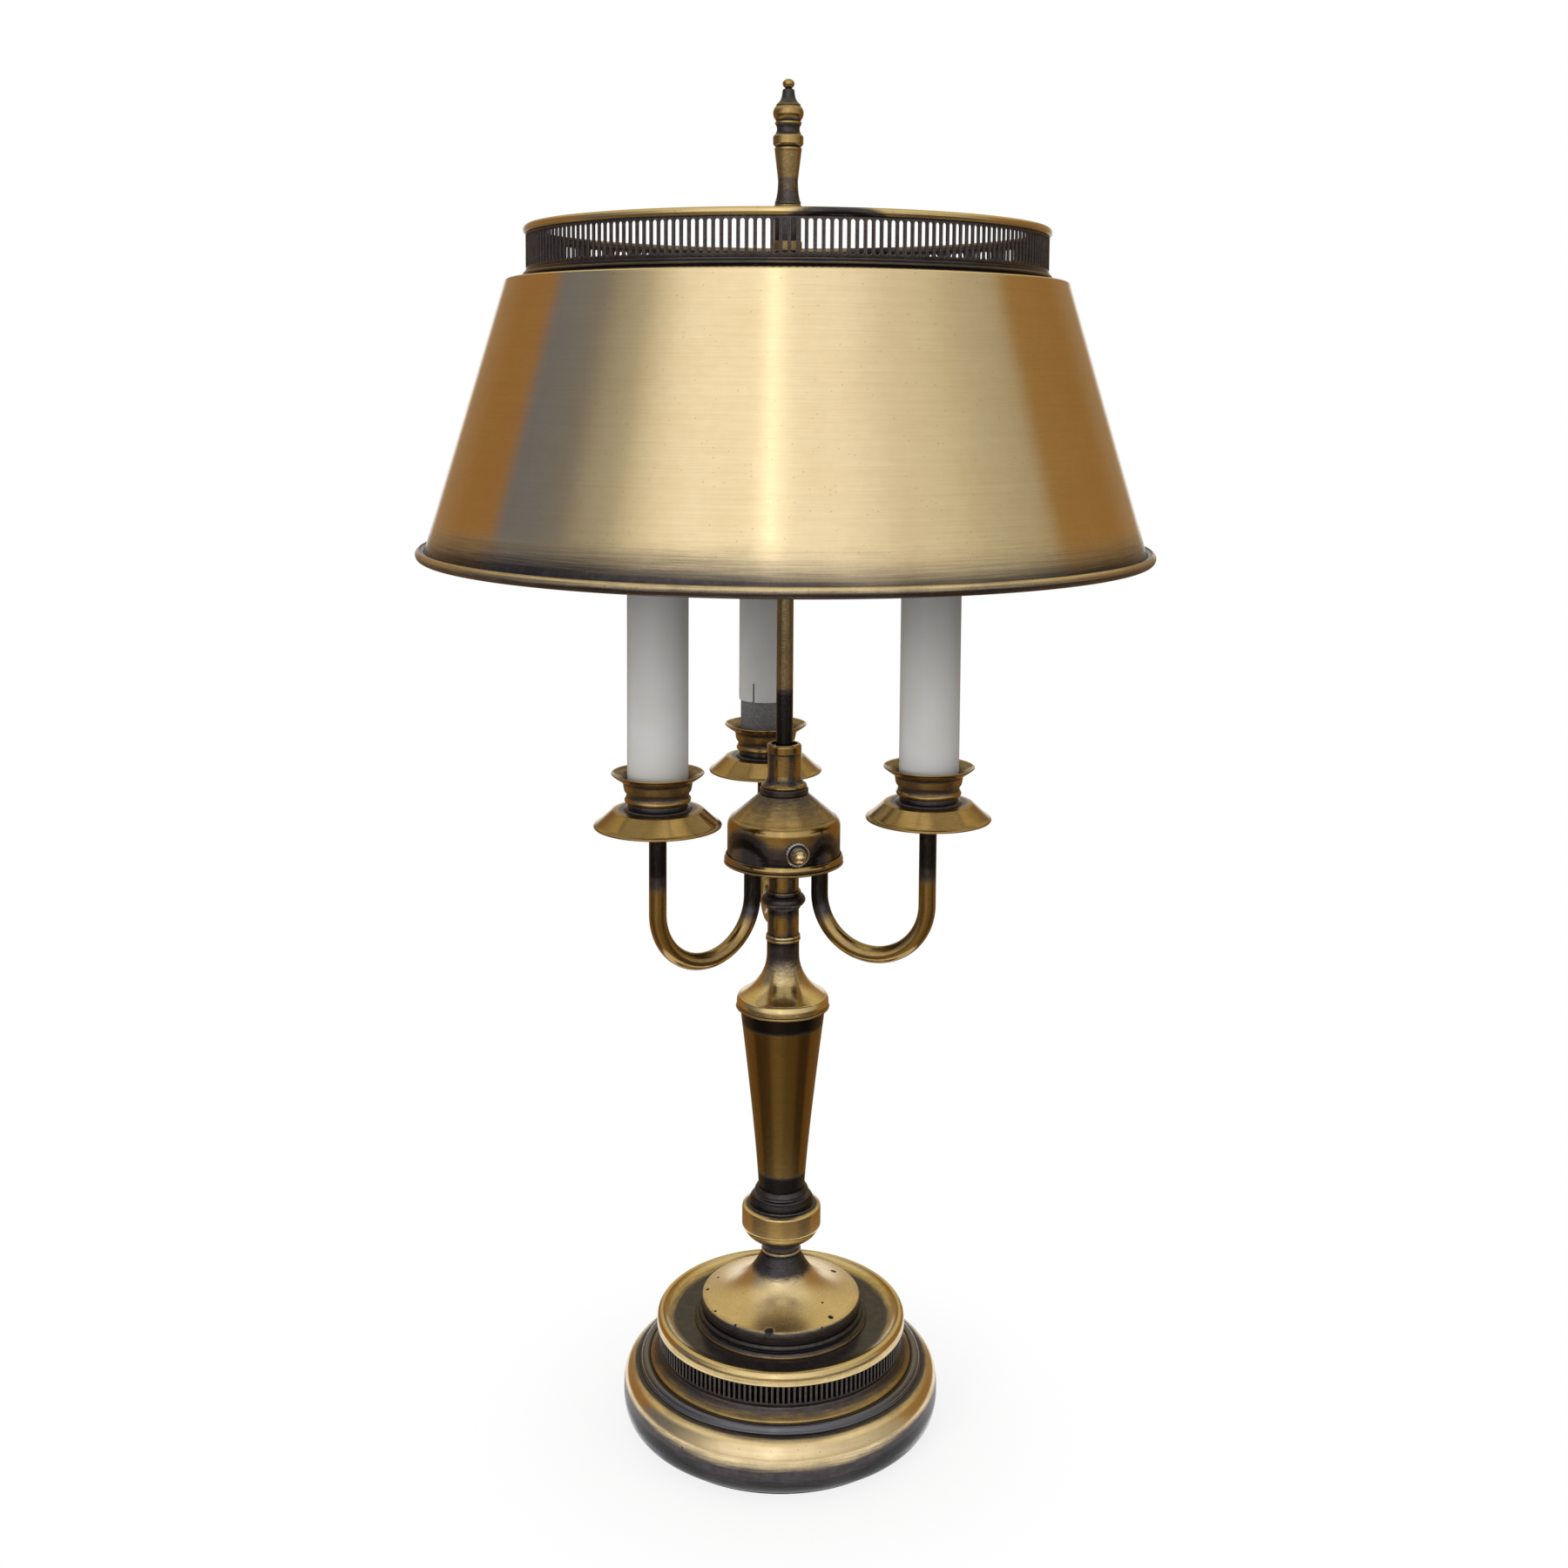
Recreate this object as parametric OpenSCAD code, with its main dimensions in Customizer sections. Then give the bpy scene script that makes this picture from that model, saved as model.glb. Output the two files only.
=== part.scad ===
// Three-candle table lamp. A brass drum shade with a pierced gallery hangs on a rod above three
// candle arms and a turned column, which stands on a stepped round foot.
// Z is up, the origin is under the middle of the felt, and -Y is the front, midway between the
// two front arms. Every level is stacked on the one below it, from the felt to the finial.

/* [Foot] */
// Diameter over the foot's roll
foot_d = 181; // [174:1:192]
// Height of the foot's roll
foot_roll_h = 32.5; // [29:0.5:36]
// Sheet of the spun foot
foot_wall = 1.6; // [1.2:0.1:2]
// Thickness of the felt
felt_t = 2.4; // [1.6:0.1:4]
// Step from the foot's edge in to the drum
foot_ledge = 19; // [17:0.5:22]
// Height of the iron weight
weight_h = 24; // [18:1:26]
// Space left between the drum's radius and the weight
weight_inset = 12; // [9:0.5:20]
// Outer diameter of the cord bushing's shank
bushing_d = 10; // [8:0.5:12]
// Bore of the cord bushing
bushing_bore = 7; // [5:0.5:7.5]

/* [Drum] */
// Height of the drum's flared skirt
skirt_h = 6.2; // [5:0.2:8]
// Height of the drum's pierced band
drum_band_h = 12; // [10:0.5:15]
// Sheet of the pierced bands
band_wall = 0.8; // [0.6:0.1:1.2]
// Number of slots in the drum
drum_slots = 144; // [120:1:150]
// Width of a slot in the drum
drum_slot_w = 1.6; // [1.2:0.1:1.7]
// Plate of the drum's cap
cap_t = 1.2; // [0.8:0.1:2]
// Height of the cap's rolled rim over its plate
cap_rim_h = 4.3; // [3.6:0.1:6]

/* [Column] */
// Diameter of the bell
bell_d = 92.4; // [84:0.4:100]
// Height of the bell
bell_h = 33.5; // [28:0.5:40]
// Height of the bell's edge
bell_edge_h = 4.7; // [3.5:0.1:6]
// Wall of the cast column pieces
cast_wall = 3; // [2:0.1:4]
// Diameter of the bell's neck
neck_d = 21.5; // [19:0.5:26]
// Diameter of the knop
knop_d = 45.2; // [40:0.2:52]
// Height of the knop's drum
knop_h = 28.2; // [24:0.2:34]
// Diameter of the column's foot
column_foot_d = 26.4; // [24:0.2:30]
// Diameter of the column's head
column_head_d = 48.6; // [42:0.2:50]
// Height of the column
column_h = 105.5; // [90:0.5:130]
// Diameter of the band on the column
band_d = 53.2; // [52:0.2:58]
// Height of the flared neck over the band
vase_h = 40; // [34:0.5:48]
// Diameter of the stem
stem_d = 17.8; // [15:0.2:20]
// Length of the stem below its bead
stem_h = 15.4; // [10:0.2:24]
// Diameter of the stem's bead
stem_bead_d = 25.2; // [22:0.2:28]
// Length of the stem above its bead
stem_top_h = 13.1; // [9:0.1:20]
// Outer diameter of the threaded pipe
pipe_d = 10; // [9:0.1:10.4]
// Bore of the threaded pipe
pipe_bore = 7.6; // [6.5:0.1:8]

/* [Switch housing] */
// Diameter of the housing's wall
housing_d = 64; // [62:0.5:74]
// Height of the housing's wall
housing_wall_h = 24.5; // [23:0.5:31]
// Rise of the housing's dome
dome_h = 15.2; // [12:0.2:20]
// Diameter of the dome's crown
crown_d = 28; // [26:0.5:32]
// Sheet of the spun pieces
sheet_t = 1; // [0.8:0.1:1.4]
// Height of the ring on the crown
crown_ring_h = 3.8; // [2.5:0.1:6]
// Height of the coupler over the ring
coupler_h = 24.9; // [20:0.1:32]
// Diameter of the coupler's tube
coupler_d = 18.7; // [16:0.1:20]
// Turn of the switch away from the middle of the front
switch_turn = 5.5; // [-12:0.5:12]
// Height of the switch over the housing's floor
switch_rise = 13; // [12:0.1:15]
// Diameter of the push button
button_d = 7.1; // [5.5:0.1:7.4]
// Travel of the push button
button_travel = 2.5; // [1.5:0.1:3]

/* [Arms] */
// Diameter of the arm tube
arm_d = 9.5; // [8:0.1:10.5]
// Wall of the arm tube
arm_wall = 1.1; // [0.8:0.1:1.5]
// Distance of an arm's root from the housing's wall
arm_inset = 10; // [9:0.5:11.5]
// Straight leg of an arm below the housing
arm_leg = 12; // [6:0.5:20]
// Height of the drip pan's floor over the middle of the bend
arm_rise = 58.2; // [48:0.2:66]
// Radius of the circle of candles
candle_r = 85.5; // [80:0.5:92]

/* [Candles] */
// Diameter of the drip pan
pan_d = 69; // [60:0.5:72]
// Depth of the drip pan
pan_h = 8.6; // [6:0.2:11]
// Diameter of the cup's lip
cup_d = 50; // [47:0.5:54]
// Height of the cup
cup_h = 16; // [15:0.2:20]
// Outer diameter of a candle sleeve
sleeve_d = 32.8; // [31.6:0.1:33.2]
// Wall of a candle sleeve
sleeve_wall = 0.8; // [0.6:0.1:0.9]
// Length of a candle sleeve
sleeve_l = 127; // [120:1:140]
// Lift of the back sleeve off its seat
back_lift = 24; // [14:0.5:34]
// Width of the slit at a sleeve's foot
slit_w = 1; // [0.6:0.1:2]
// Height of the slit at a sleeve's foot
slit_h = 11.5; // [8:0.5:16]
// Length of a socket
socket_l = 64; // [58:1:70]
// Inner diameter of the screw shell
shell_bore = 26.4; // [26:0.1:26.6]
// Depth of the screw shell
shell_h = 25; // [22:0.5:28]

/* [Shade] */
// Length of the rod from the coupler to the shade's seat
rod_h = 253.1; // [240:0.1:280]
// Diameter of the rod
rod_d = 9.5; // [8.5:0.1:10]
// Diameter over the shade's rim
shade_d = 406; // [380:1:430]
// Diameter of the shade's shoulder
shade_top_d = 309; // [300:1:320]
// Height of the shade's cone
shade_h = 148.5; // [130:0.5:165]
// Sheet of the shade
shade_t = 0.8; // [0.6:0.1:1.2]
// Radius of the rim's roll
rim_roll = 3; // [2.6:0.1:3.6]
// Step from the shade's shoulder in to the gallery
gallery_inset = 12; // [10:0.5:14]
// Number of slots in the gallery
gallery_slots = 220; // [190:1:230]
// Width of a slot in the gallery
slot_w = 2.3; // [1.8:0.1:2.5]
// Height of a slot in the gallery
slot_h = 16.5; // [12:0.5:20]
// Plain edge above and below the slots
slot_edge = 1.7; // [1.2:0.1:3]
// Radius of the gallery's top bead
top_bead = 2.2; // [1.8:0.1:2.8]
// Diameter of the spider's hub
hub_d = 14.8; // [13:0.2:18]
// Height of the spider's hub
hub_h = 46.5; // [38:0.1:54]
// Width of a spider arm
spider_w = 9; // [6:0.5:12]
// Length of the finial's tapered shank
finial_shank_h = 27.8; // [20:0.2:36]

/* [Fits] */
// Gap between pieces that are fitted by hand
gap = 0.3; // [0.2:0.05:0.4]
// Gap round a shaft or thread
fit = 0.1; // [0.05:0.01:0.15]

/* [Hidden] */
round_fn = 96;

brass = "#b8954f";
dark_brass = "#8a6a34";
patina = "#40342c";
black_pipe = "#26211e";
ivory = "#e9e8e4";
fibre = "#6f7072";
iron = "#4a4a4c";
steel = "#b9bcc0";

pipe_r = pipe_d/2;
bore_r = pipe_r + gap;

// Levels of the foot, whose roll is half of a superellipse
roll_power = 2.9;
roll_a = foot_roll_h/2;
roll_w = 16;
roll_r = foot_d/2 - roll_w;
roll_land = 0.3;
roll_z = felt_t + roll_a - roll_land;
shoulder_z = roll_z + roll_a;
drum_r = foot_d/2 - foot_ledge;
bead_a = 2.8;
bushing_flat = 0.5;
bushing_y = foot_d/2 - bushing_flat;
bushing_flange_r = bushing_d/2 + 2;
bushing_flange_t = 2;
bead_r = drum_r + 6.3;
bead_z = shoulder_z + 0.3;
seat_z = shoulder_z + 1.8;
plate_t = foot_wall + 0.5;
plate_z = seat_z - plate_t;
land_w = roll_w*pow(1 - pow(1 - roll_land/roll_a, roll_power), 1/roll_power);
felt_r = roll_r + land_w - gap;
board_t = foot_wall - roll_land;
weight_r = drum_r - weight_inset;
weight_z = plate_z - weight_h;
pocket_r = 13;
pocket_h = 9;
lead_slot = 8;
washer_t = 1.5;
washer_z = weight_z + pocket_h - washer_t;
pipe_nut_h = 5.5;
pipe_nut_af = 14;
pipe_z = washer_z - pipe_nut_h - 1;

// Levels of the drum
wall_r = drum_r - 1.8;
collar_h = 2.2;
drum_slot_h = drum_band_h - 2;
drum_slot_z = seat_z + skirt_h + drum_band_h/2;
cap_z = seat_z + skirt_h + drum_band_h + collar_h;
cap_top = cap_z + cap_t;

// Levels of the column
bell_r = bell_d/2;
bell_ring_h = 7.5;
bell_z = cap_top + bell_ring_h;
knop_z = bell_z + bell_h;
knop_top_h = 8.8;
column_z = knop_z + knop_h + knop_top_h;
band_z = column_z + column_h;
band_h = 2.6;
vase_z = band_z + band_h;
stem_z = vase_z + vase_h;
stem_r = stem_d/2;
stem_bead_z = stem_z + stem_h;
stem_bead_h = 10;
stem_top_z = stem_bead_z + stem_bead_h;

// Levels of the switch housing
housing_r = housing_d/2;
pan_floor_z = stem_top_z + stem_top_h;
floor_t = 2.9;
floor_z = pan_floor_z + floor_t;
housing_rim_h = 8.4;
wall_top_z = floor_z + housing_wall_h;
crown_z = wall_top_z + dome_h;
coupler_z = crown_z + crown_ring_h;
coupler_top = coupler_z + coupler_h;
rod_r = rod_d/2;
rod_well = 2;
rod_grip = 10;
rod_z = coupler_top - rod_well - rod_grip;
pipe_top = rod_z - 1;
housing_nut_h = 5;

// The switch lies on its own axis, which points out of the housing
switch_z = floor_z + switch_rise;
switch_dir = 270 + switch_turn;
switch_body_r = 7.5;
switch_body_l = 17;
switch_face = sqrt(pow(housing_r - sheet_t, 2) - pow(switch_body_r, 2)) - gap;
bushing_out = 6.2;
bushing_wall = 0.8;
switch_nut_r = 7;
switch_nut_h = 2.9;
button_r = button_d/2;
switch_bush_r = button_r + fit/2 + bushing_wall;
button_out = 10.3;
flange_t = 1.5;
flange_r = button_r + 1.2;
flange_x = switch_face - 5;
flange_room = button_travel + flange_t + 1;

// Arms and candles
candle_dir = [210, 330, 90];
arm_r = arm_d/2;
arm_bore_r = arm_r - arm_wall;
arm_root_r = housing_r - arm_inset;
bend_r = (candle_r - arm_root_r)/2;
bend_z = pan_floor_z - arm_leg;
arm_nut_h = 3.2;
arm_root_top = floor_z + arm_nut_h + 1.6;
pan_z = bend_z + arm_rise;
pan_t = 1;
pan_flat_r = 24.5;
neck_ring_h = 3.8;
neck_ring_r = 17.2;
cup_z = pan_z + neck_ring_h;
cup_floor_t = 1.4;
cup_nut_h = 3.6;
arm_top = cup_z + cup_floor_t + cup_nut_h + 1.2;
ledge_z = cup_z + 6.9;
sleeve_r = sleeve_d/2;
sleeve_in = sleeve_r - sleeve_wall;
slit_dir = 146;
liner_r = sleeve_in - gap;
liner_t = 0.5;
socket_r = liner_r - liner_t - gap;
socket_top = ledge_z + sleeve_l - 3;
socket_z = socket_top - socket_l;
shell_wall = 0.35;
shell_r = shell_bore/2 + shell_wall;
shell_z = socket_top - shell_h;
contact_r = 4;
contact_h = 1.6;
coupling_r = 6.2;
coupling_h = 8;

// Levels of the shade
seat_collar_h = 5;
shade_seat_z = coupler_top + rod_h;
hub_z = shade_seat_z + gap;
spider_t = 1.6;
shoulder_r = shade_top_d/2;
shoulder_a = 2;
arms_z = hub_z + spider_t;
step_z = arms_z + spider_t + shade_t;
step_r = shoulder_r - shoulder_a;
rim_r = shade_d/2 - rim_roll;
cone_z = step_z - shade_h;
rim_z = cone_z + 0.9;
cone_foot_r = rim_r - 1.2;
gallery_r = shoulder_r - gallery_inset;
gallery_base_h = 5.1;
band_bottom = step_z + gallery_base_h;
gallery_band_h = slot_h + 2*slot_edge;
bead_top_z = band_bottom + gallery_band_h + top_bead - 0.6;
hub_top = hub_z + hub_h;
finial_z = hub_top + gap;
rod_top = hub_top - 4;
stub_r = 3.1;
stub_h = 14;

// A curve from a to c that leaves and arrives along the lines to b
function bend(a, b, c, n = 8) =
    [for (i = [0 : n]) let (t = i/n) (1 - t)*(1 - t)*a + 2*t*(1 - t)*b + t*t*c];

// An outline of [radius, height] points turned round Z, over a straight bore
module turned(outline, bore) rotate_extrude($fn = round_fn)
    polygon(concat([[bore, outline[0][1]]], outline, [[bore, outline[len(outline) - 1][1]]]));

module ring(r_out, r_in, h) difference() {
    cylinder(r = r_out, h = h, $fn = round_fn);
    translate([0, 0, -1]) cylinder(r = r_in, h = h + 2, $fn = round_fn);
}

module hex_nut(across, h, bore) difference() {
    cylinder(d = across/cos(30), h = h, $fn = 6);
    translate([0, 0, -1]) cylinder(r = bore, h = h + 2, $fn = 48);
}

// Turns children from +X to an arm's direction, and moves them out to its candle
module toward(i) rotate([0, 0, candle_dir[i]]) children();
module on_candle(i, z) toward(i) translate([candle_r, 0, z]) children();
module on_switch(x) rotate([0, 0, switch_dir]) translate([x, 0, switch_z]) rotate([0, 90, 0]) children();

module felt_pad() color(black_pipe) cylinder(r = felt_r, h = felt_t, $fn = round_fn);

module base_board() color(fibre) translate([0, 0, felt_t])
    cylinder(r = roll_r - gap, h = board_t, $fn = round_fn);

module base_weight() color(iron) translate([0, 0, weight_z]) difference() {
    ring(weight_r, bore_r, weight_h);
    translate([0, 0, -1]) cylinder(r = pocket_r, h = pocket_h + 1, $fn = round_fn);
    translate([-lead_slot/2, 0, -1]) cube([lead_slot, weight_r + 1, lead_slot]);
}

// One nut clamps the stack under the weight, and one holds the switch housing's pan
module pipe_nuts() color(steel) {
    translate([0, 0, washer_z - pipe_nut_h]) hex_nut(pipe_nut_af, pipe_nut_h, pipe_r + fit);
    translate([0, 0, floor_z]) hex_nut(pipe_nut_af, housing_nut_h, pipe_r + fit);
}

module pipe_washer() color(steel) translate([0, 0, washer_z]) ring(pocket_r - 1.2, bore_r, washer_t);

module lamp_pipe() color(steel) translate([0, 0, pipe_z]) ring(pipe_r, pipe_bore/2, pipe_top - pipe_z);

// Half of a superellipse, w out and h up and down
module roll_half(w, h) translate([roll_r, roll_z]) polygon([for (a = [-90 : 5 : 90])
    [w*pow(cos(a), 2/roll_power), h*sign(a)*pow(abs(sin(a)), 2/roll_power)]]);

// The roll, the bead on it and the flat seat, hollowed from below
module foot_section() difference() {
    union() {
        roll_half(roll_w, roll_a);
        translate([bead_r, bead_z]) circle(r = bead_a, $fn = 48);
        translate([bore_r, plate_z]) square([bead_r - bore_r, plate_t]);
    }
    roll_half(roll_w - foot_wall, roll_a - foot_wall);
    translate([0, -1]) square([roll_r, plate_z + 1]);
    square([foot_d, felt_t]);
}

// The bushing's flange lies on a flat at the back of the foot
module base_foot() color(brass) difference() {
    rotate_extrude($fn = round_fn) foot_section();
    translate([0, roll_r, roll_z]) rotate([-90, 0, 0])
        cylinder(d = bushing_d + gap, h = foot_d, $fn = 48);
    translate([0, bushing_y, roll_z]) rotate([-90, 0, 0])
        cylinder(r = bushing_flange_r + gap, h = foot_d, $fn = 48);
}

module cord_bushing() color(black_pipe) translate([0, bushing_y, roll_z]) rotate([-90, 0, 0])
    difference() {
        union() {
            translate([0, 0, -foot_wall - 4]) cylinder(d = bushing_d, h = foot_wall + 5, $fn = 48);
            translate([0, 0, gap/2]) cylinder(r = bushing_flange_r, h = bushing_flange_t, $fn = 48);
        }
        translate([0, 0, -20]) cylinder(d = bushing_bore, h = 40, $fn = 48);
    }

module base_gallery() color(patina) difference() {
    translate([0, 0, seat_z]) rotate_extrude($fn = round_fn) polygon(concat(
        [[wall_r - band_wall, 0], [wall_r + 5.6, 0], [wall_r + 5.6, 0.8]],
        bend([wall_r + 5.2, 1.4], [wall_r + 1, skirt_h - 2.4], [wall_r, skirt_h]),
        [[wall_r, cap_z - seat_z], [wall_r - band_wall, cap_z - seat_z]]));
    for (i = [0 : drum_slots - 1]) rotate([0, 0, i*360/drum_slots])
        translate([-drum_slot_w/2, -wall_r - 1, drum_slot_z - drum_slot_h/2])
            cube([drum_slot_w, band_wall + 2, drum_slot_h]);
}

module drum_cap() color(dark_brass) translate([0, 0, cap_z]) rotate_extrude($fn = round_fn)
    polygon(concat(
        [[bore_r, 0], [wall_r + gap, 0], [wall_r + gap, -1.8]],
        bend([drum_r - 0.6, -1.8], [drum_r, -1.8], [drum_r, -1.1], 4),
        bend([drum_r, 0.8], [drum_r - 0.7, 1.4], [drum_r, 2], 4),
        bend([drum_r, cap_t + 1.7], [drum_r, cap_t + cap_rim_h], [drum_r - 2.2, cap_t + cap_rim_h], 6),
        bend([drum_r - 3.2, cap_t + cap_rim_h - 0.2], [drum_r - 6, cap_t], [drum_r - 11.5, cap_t]),
        [[bore_r, cap_t]]));

module bell_ring() color(patina) translate([0, 0, cap_top]) turned([
    [bell_r + 3.6, 0], [bell_r + 3.6, 0.9], [bell_r + 2.6, 2.6], [bell_r + 0.9, 2.9],
    [bell_r + 0.9, 4.6], [bell_r + 0.2, 5.8], [bell_r - 1.3, 6], [bell_r - 1.3, bell_ring_h]],
    bell_r - 14);

// The bell's face falls away from the neck as an exponential curve
bell_spread = 12.6;
bell_foot_h = bell_edge_h - 0.7;
function bell_face(r) = bell_foot_h + (bell_h - 2 - bell_foot_h)*exp((neck_d/2 - r)/bell_spread);
bell_r0 = neck_d/2;
bell_r1 = bell_r - 1.2;
bell_steps = 16;

module base_bell() color(brass) translate([0, 0, bell_z]) rotate_extrude($fn = round_fn)
    polygon(concat(
        [[bell_r - cast_wall, 0]],
        [[bell_r - 0.5, 0]],
        bend([bell_r, 0.6], [bell_r, bell_edge_h + 0.4], [bell_r1, bell_face(bell_r1)], 5),
        [for (i = [bell_steps - 1 : -1 : 0])
            let (r = bell_r0 + (bell_r1 - bell_r0)*pow(i/bell_steps, 1.4)) [r, bell_face(r)]],
        [[bell_r0 + 0.6, bell_h - 1.6], [bell_r0 + 0.6, bell_h - 0.4], [bell_r0, bell_h]],
        [[bore_r, bell_h], [bore_r, bell_h - 8]],
        [for (i = [2 : 2 : bell_steps])
            let (r = bell_r0 + (bell_r1 - bell_r0)*pow(i/bell_steps, 1.4))
            [r - cast_wall, bell_face(r) - cast_wall]]));

knop_r = knop_d/2;
knop_foot_r = 11.2;
knop_neck_h = 5;
knop_bowl_h = 9.8;

module knop() color(brass) translate([0, 0, knop_z]) turned(concat(
    [[knop_foot_r - 0.8, 0], [knop_foot_r, 1.2]],
    [for (a = [0 : 9 : 90])
        [knop_foot_r + (knop_r - knop_foot_r)*pow(sin(a), 1.25),
         knop_neck_h + knop_bowl_h*(1 - pow(cos(a), 1.25))]],
    [[knop_r, knop_h - 4.2], [knop_r - 0.3, knop_h - 2.7], [knop_r - 3, knop_h - 1.8]],
    bend([knop_r - 4.1, knop_h - 1.6], [knop_r - 3.9, knop_h + 2.2],
        [column_foot_d/2 + 3.6, knop_h + 3.4]),
    [[column_foot_d/2 + 3.4, knop_h + 4.2], [column_foot_d/2 + 1.7, knop_h + 4.8],
     [column_foot_d/2 + 1.7, knop_h + 5.6], [column_foot_d/2 + 2.2, knop_h + 6],
     [column_foot_d/2 + 2, knop_h + 7], [column_foot_d/2 + 0.9, knop_h + knop_top_h]]), bore_r);

// The column swells upward, is hollow from below and is closed by its head
column_steps = 10;
function column_r(t) = column_foot_d/2 + (column_head_d - column_foot_d)/2*pow(t, 1.2);

module column() color(dark_brass) translate([0, 0, column_z]) rotate_extrude($fn = round_fn)
    polygon(concat(
        [for (i = [0 : column_steps]) [column_r(i/column_steps), column_h*i/column_steps]],
        [[bore_r, column_h], [bore_r, column_h - 6]],
        [for (i = [column_steps - 1 : -1 : 0])
            [column_r(i/column_steps) - cast_wall, column_h*i/column_steps]]));

module column_band() color(brass) translate([0, 0, band_z]) turned(concat(
    [[band_d/2 - 0.9, 0]], bend([band_d/2, 0.7], [band_d/2 + 0.3, band_h/2], [band_d/2, band_h - 0.7], 4),
    [[band_d/2 - 1.2, band_h]]), bore_r);

module vase_neck() color(brass) translate([0, 0, vase_z]) turned(concat(
    [[band_d/2 - 0.8, 0]],
    bend([band_d/2 - 0.5, 0.8], [band_d/2 - 0.7, vase_h*0.12], [band_d/2 - 2.4, vase_h*0.121]),
    bend([band_d/2 - 2.8, vase_h*0.13], [stem_r + 0.3, vase_h*0.35], [stem_r + 0.3, vase_h*0.73]),
    [[stem_r + 0.3, vase_h - 3.6], [stem_r + 1, vase_h - 3.2], [stem_r + 1, vase_h - 2.2],
     [stem_r + 0.5, vase_h - 1.8], [stem_r + 0.9, vase_h - 1.2], [stem_r + 0.6, vase_h]]), bore_r);

module stem_tube() color(dark_brass) translate([0, 0, stem_z]) ring(stem_r, bore_r, stem_h);

module stem_bead() color(patina) translate([0, 0, stem_bead_z]) turned(concat(
    [[stem_r + 0.8, 0], [stem_r + 1.4, 1.6]],
    bend([stem_bead_d/2 - 1.2, 2.2], [stem_bead_d/2 + 1.4, 4.8], [stem_bead_d/2 - 1.6, 7.6], 6),
    [[stem_r + 1.2, 8.2], [stem_r + 0.9, stem_bead_h]]), bore_r);

module stem_top() color(dark_brass) translate([0, 0, stem_top_z]) ring(stem_r - 0.2, bore_r, stem_top_h);

// The pan's wall is rolled twice, and holds the dome inside
module housing_pan() color(dark_brass) difference() {
    translate([0, 0, pan_floor_z]) rotate_extrude($fn = round_fn) polygon(concat(
        [[bore_r, 0]],
        bend([housing_r - 9, 0], [housing_r + 4, 3], [housing_r + 1.7, 4.1]),
        bend([housing_r + 1.1, 4.6], [housing_r + 2.2, 5.6], [housing_r + 1.4, 7.4], 5),
        [[housing_r + 0.9, housing_rim_h], [housing_r + gap, housing_rim_h],
         [housing_r + gap, floor_t + 1], [housing_r - 1, floor_t], [bore_r, floor_t]]));
    for (i = [0 : 2]) toward(i) translate([arm_root_r, 0, pan_floor_z - 1])
        cylinder(r = arm_r + fit, h = floor_t + 2, $fn = 48);
}

module housing_dome() color(brass) difference() {
    translate([0, 0, floor_z]) rotate_extrude($fn = round_fn) polygon(concat(
        [[housing_r, 1 + gap]],
        bend([housing_r, housing_wall_h - 3], [housing_r, housing_wall_h + 1.4],
            [housing_r - 2.8, housing_wall_h + 2.4], 6),
        [[crown_d/2, housing_wall_h + dome_h], [bore_r, housing_wall_h + dome_h],
         [bore_r, housing_wall_h + dome_h - sheet_t], [crown_d/2 - 0.4, housing_wall_h + dome_h - sheet_t]],
        bend([housing_r - 3.4, housing_wall_h + 2.4 - sheet_t], [housing_r - sheet_t, housing_wall_h],
            [housing_r - sheet_t, housing_wall_h - 4], 6),
        [[housing_r - sheet_t, 1 + gap]]));
    on_switch(housing_r - 6) cylinder(r = switch_bush_r + fit, h = 12, $fn = 48);
}

module crown_ring() color(patina) translate([0, 0, crown_z]) turned([
    [crown_d/2 - 0.6, 0], [crown_d/2 - 0.2, 0.6], [crown_d/2 - 0.2, crown_ring_h - 0.6],
    [crown_d/2 - 1, crown_ring_h]], bore_r);

// The coupler screws on the pipe and holds the rod in its upper bore
module coupler() color(dark_brass) translate([0, 0, coupler_z]) rotate_extrude($fn = round_fn)
    polygon(concat(
        [[pipe_r + fit, 0], [crown_d/2 - 1.4, 0], [crown_d/2 - 0.9, 1]],
        bend([crown_d/2 - 1.6, 2.2], [coupler_d/2 + 0.4, 3.4], [coupler_d/2, 6.4], 5),
        [[coupler_d/2, coupler_h - 5.6], [coupler_d/2 + 0.4, coupler_h - 5],
         [coupler_d/2 + 0.4, coupler_h - 1.2], [coupler_d/2 - 0.3, coupler_h],
         [coupler_d/2 - 1.9, coupler_h], [coupler_d/2 - 1.9, coupler_h - rod_well],
         [rod_r + fit, coupler_h - rod_well], [rod_r + fit, rod_z - coupler_z],
         [pipe_bore/2, rod_z - coupler_z], [pipe_bore/2, pipe_top - coupler_z],
         [pipe_r + fit, pipe_top - coupler_z]]));

// The rod ends in a threaded stub that takes the finial
module centre_rod() color(brass) translate([0, 0, rod_z]) union() {
    ring(rod_r, rod_r - 1.2, rod_top - 4 - rod_z);
    translate([0, 0, rod_top - 4 - rod_z]) cylinder(r = rod_r, h = 4, $fn = 48);
    translate([0, 0, rod_top - rod_z - 1]) cylinder(r = stub_r, h = stub_h + 1, $fn = 48);
}

module shade_seat() color(brass) translate([0, 0, shade_seat_z - seat_collar_h]) turned([
    [rod_r + 1.6, 0], [hub_d/2 - 0.4, 1.4], [hub_d/2 - 0.4, seat_collar_h]], rod_r + fit);

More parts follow.
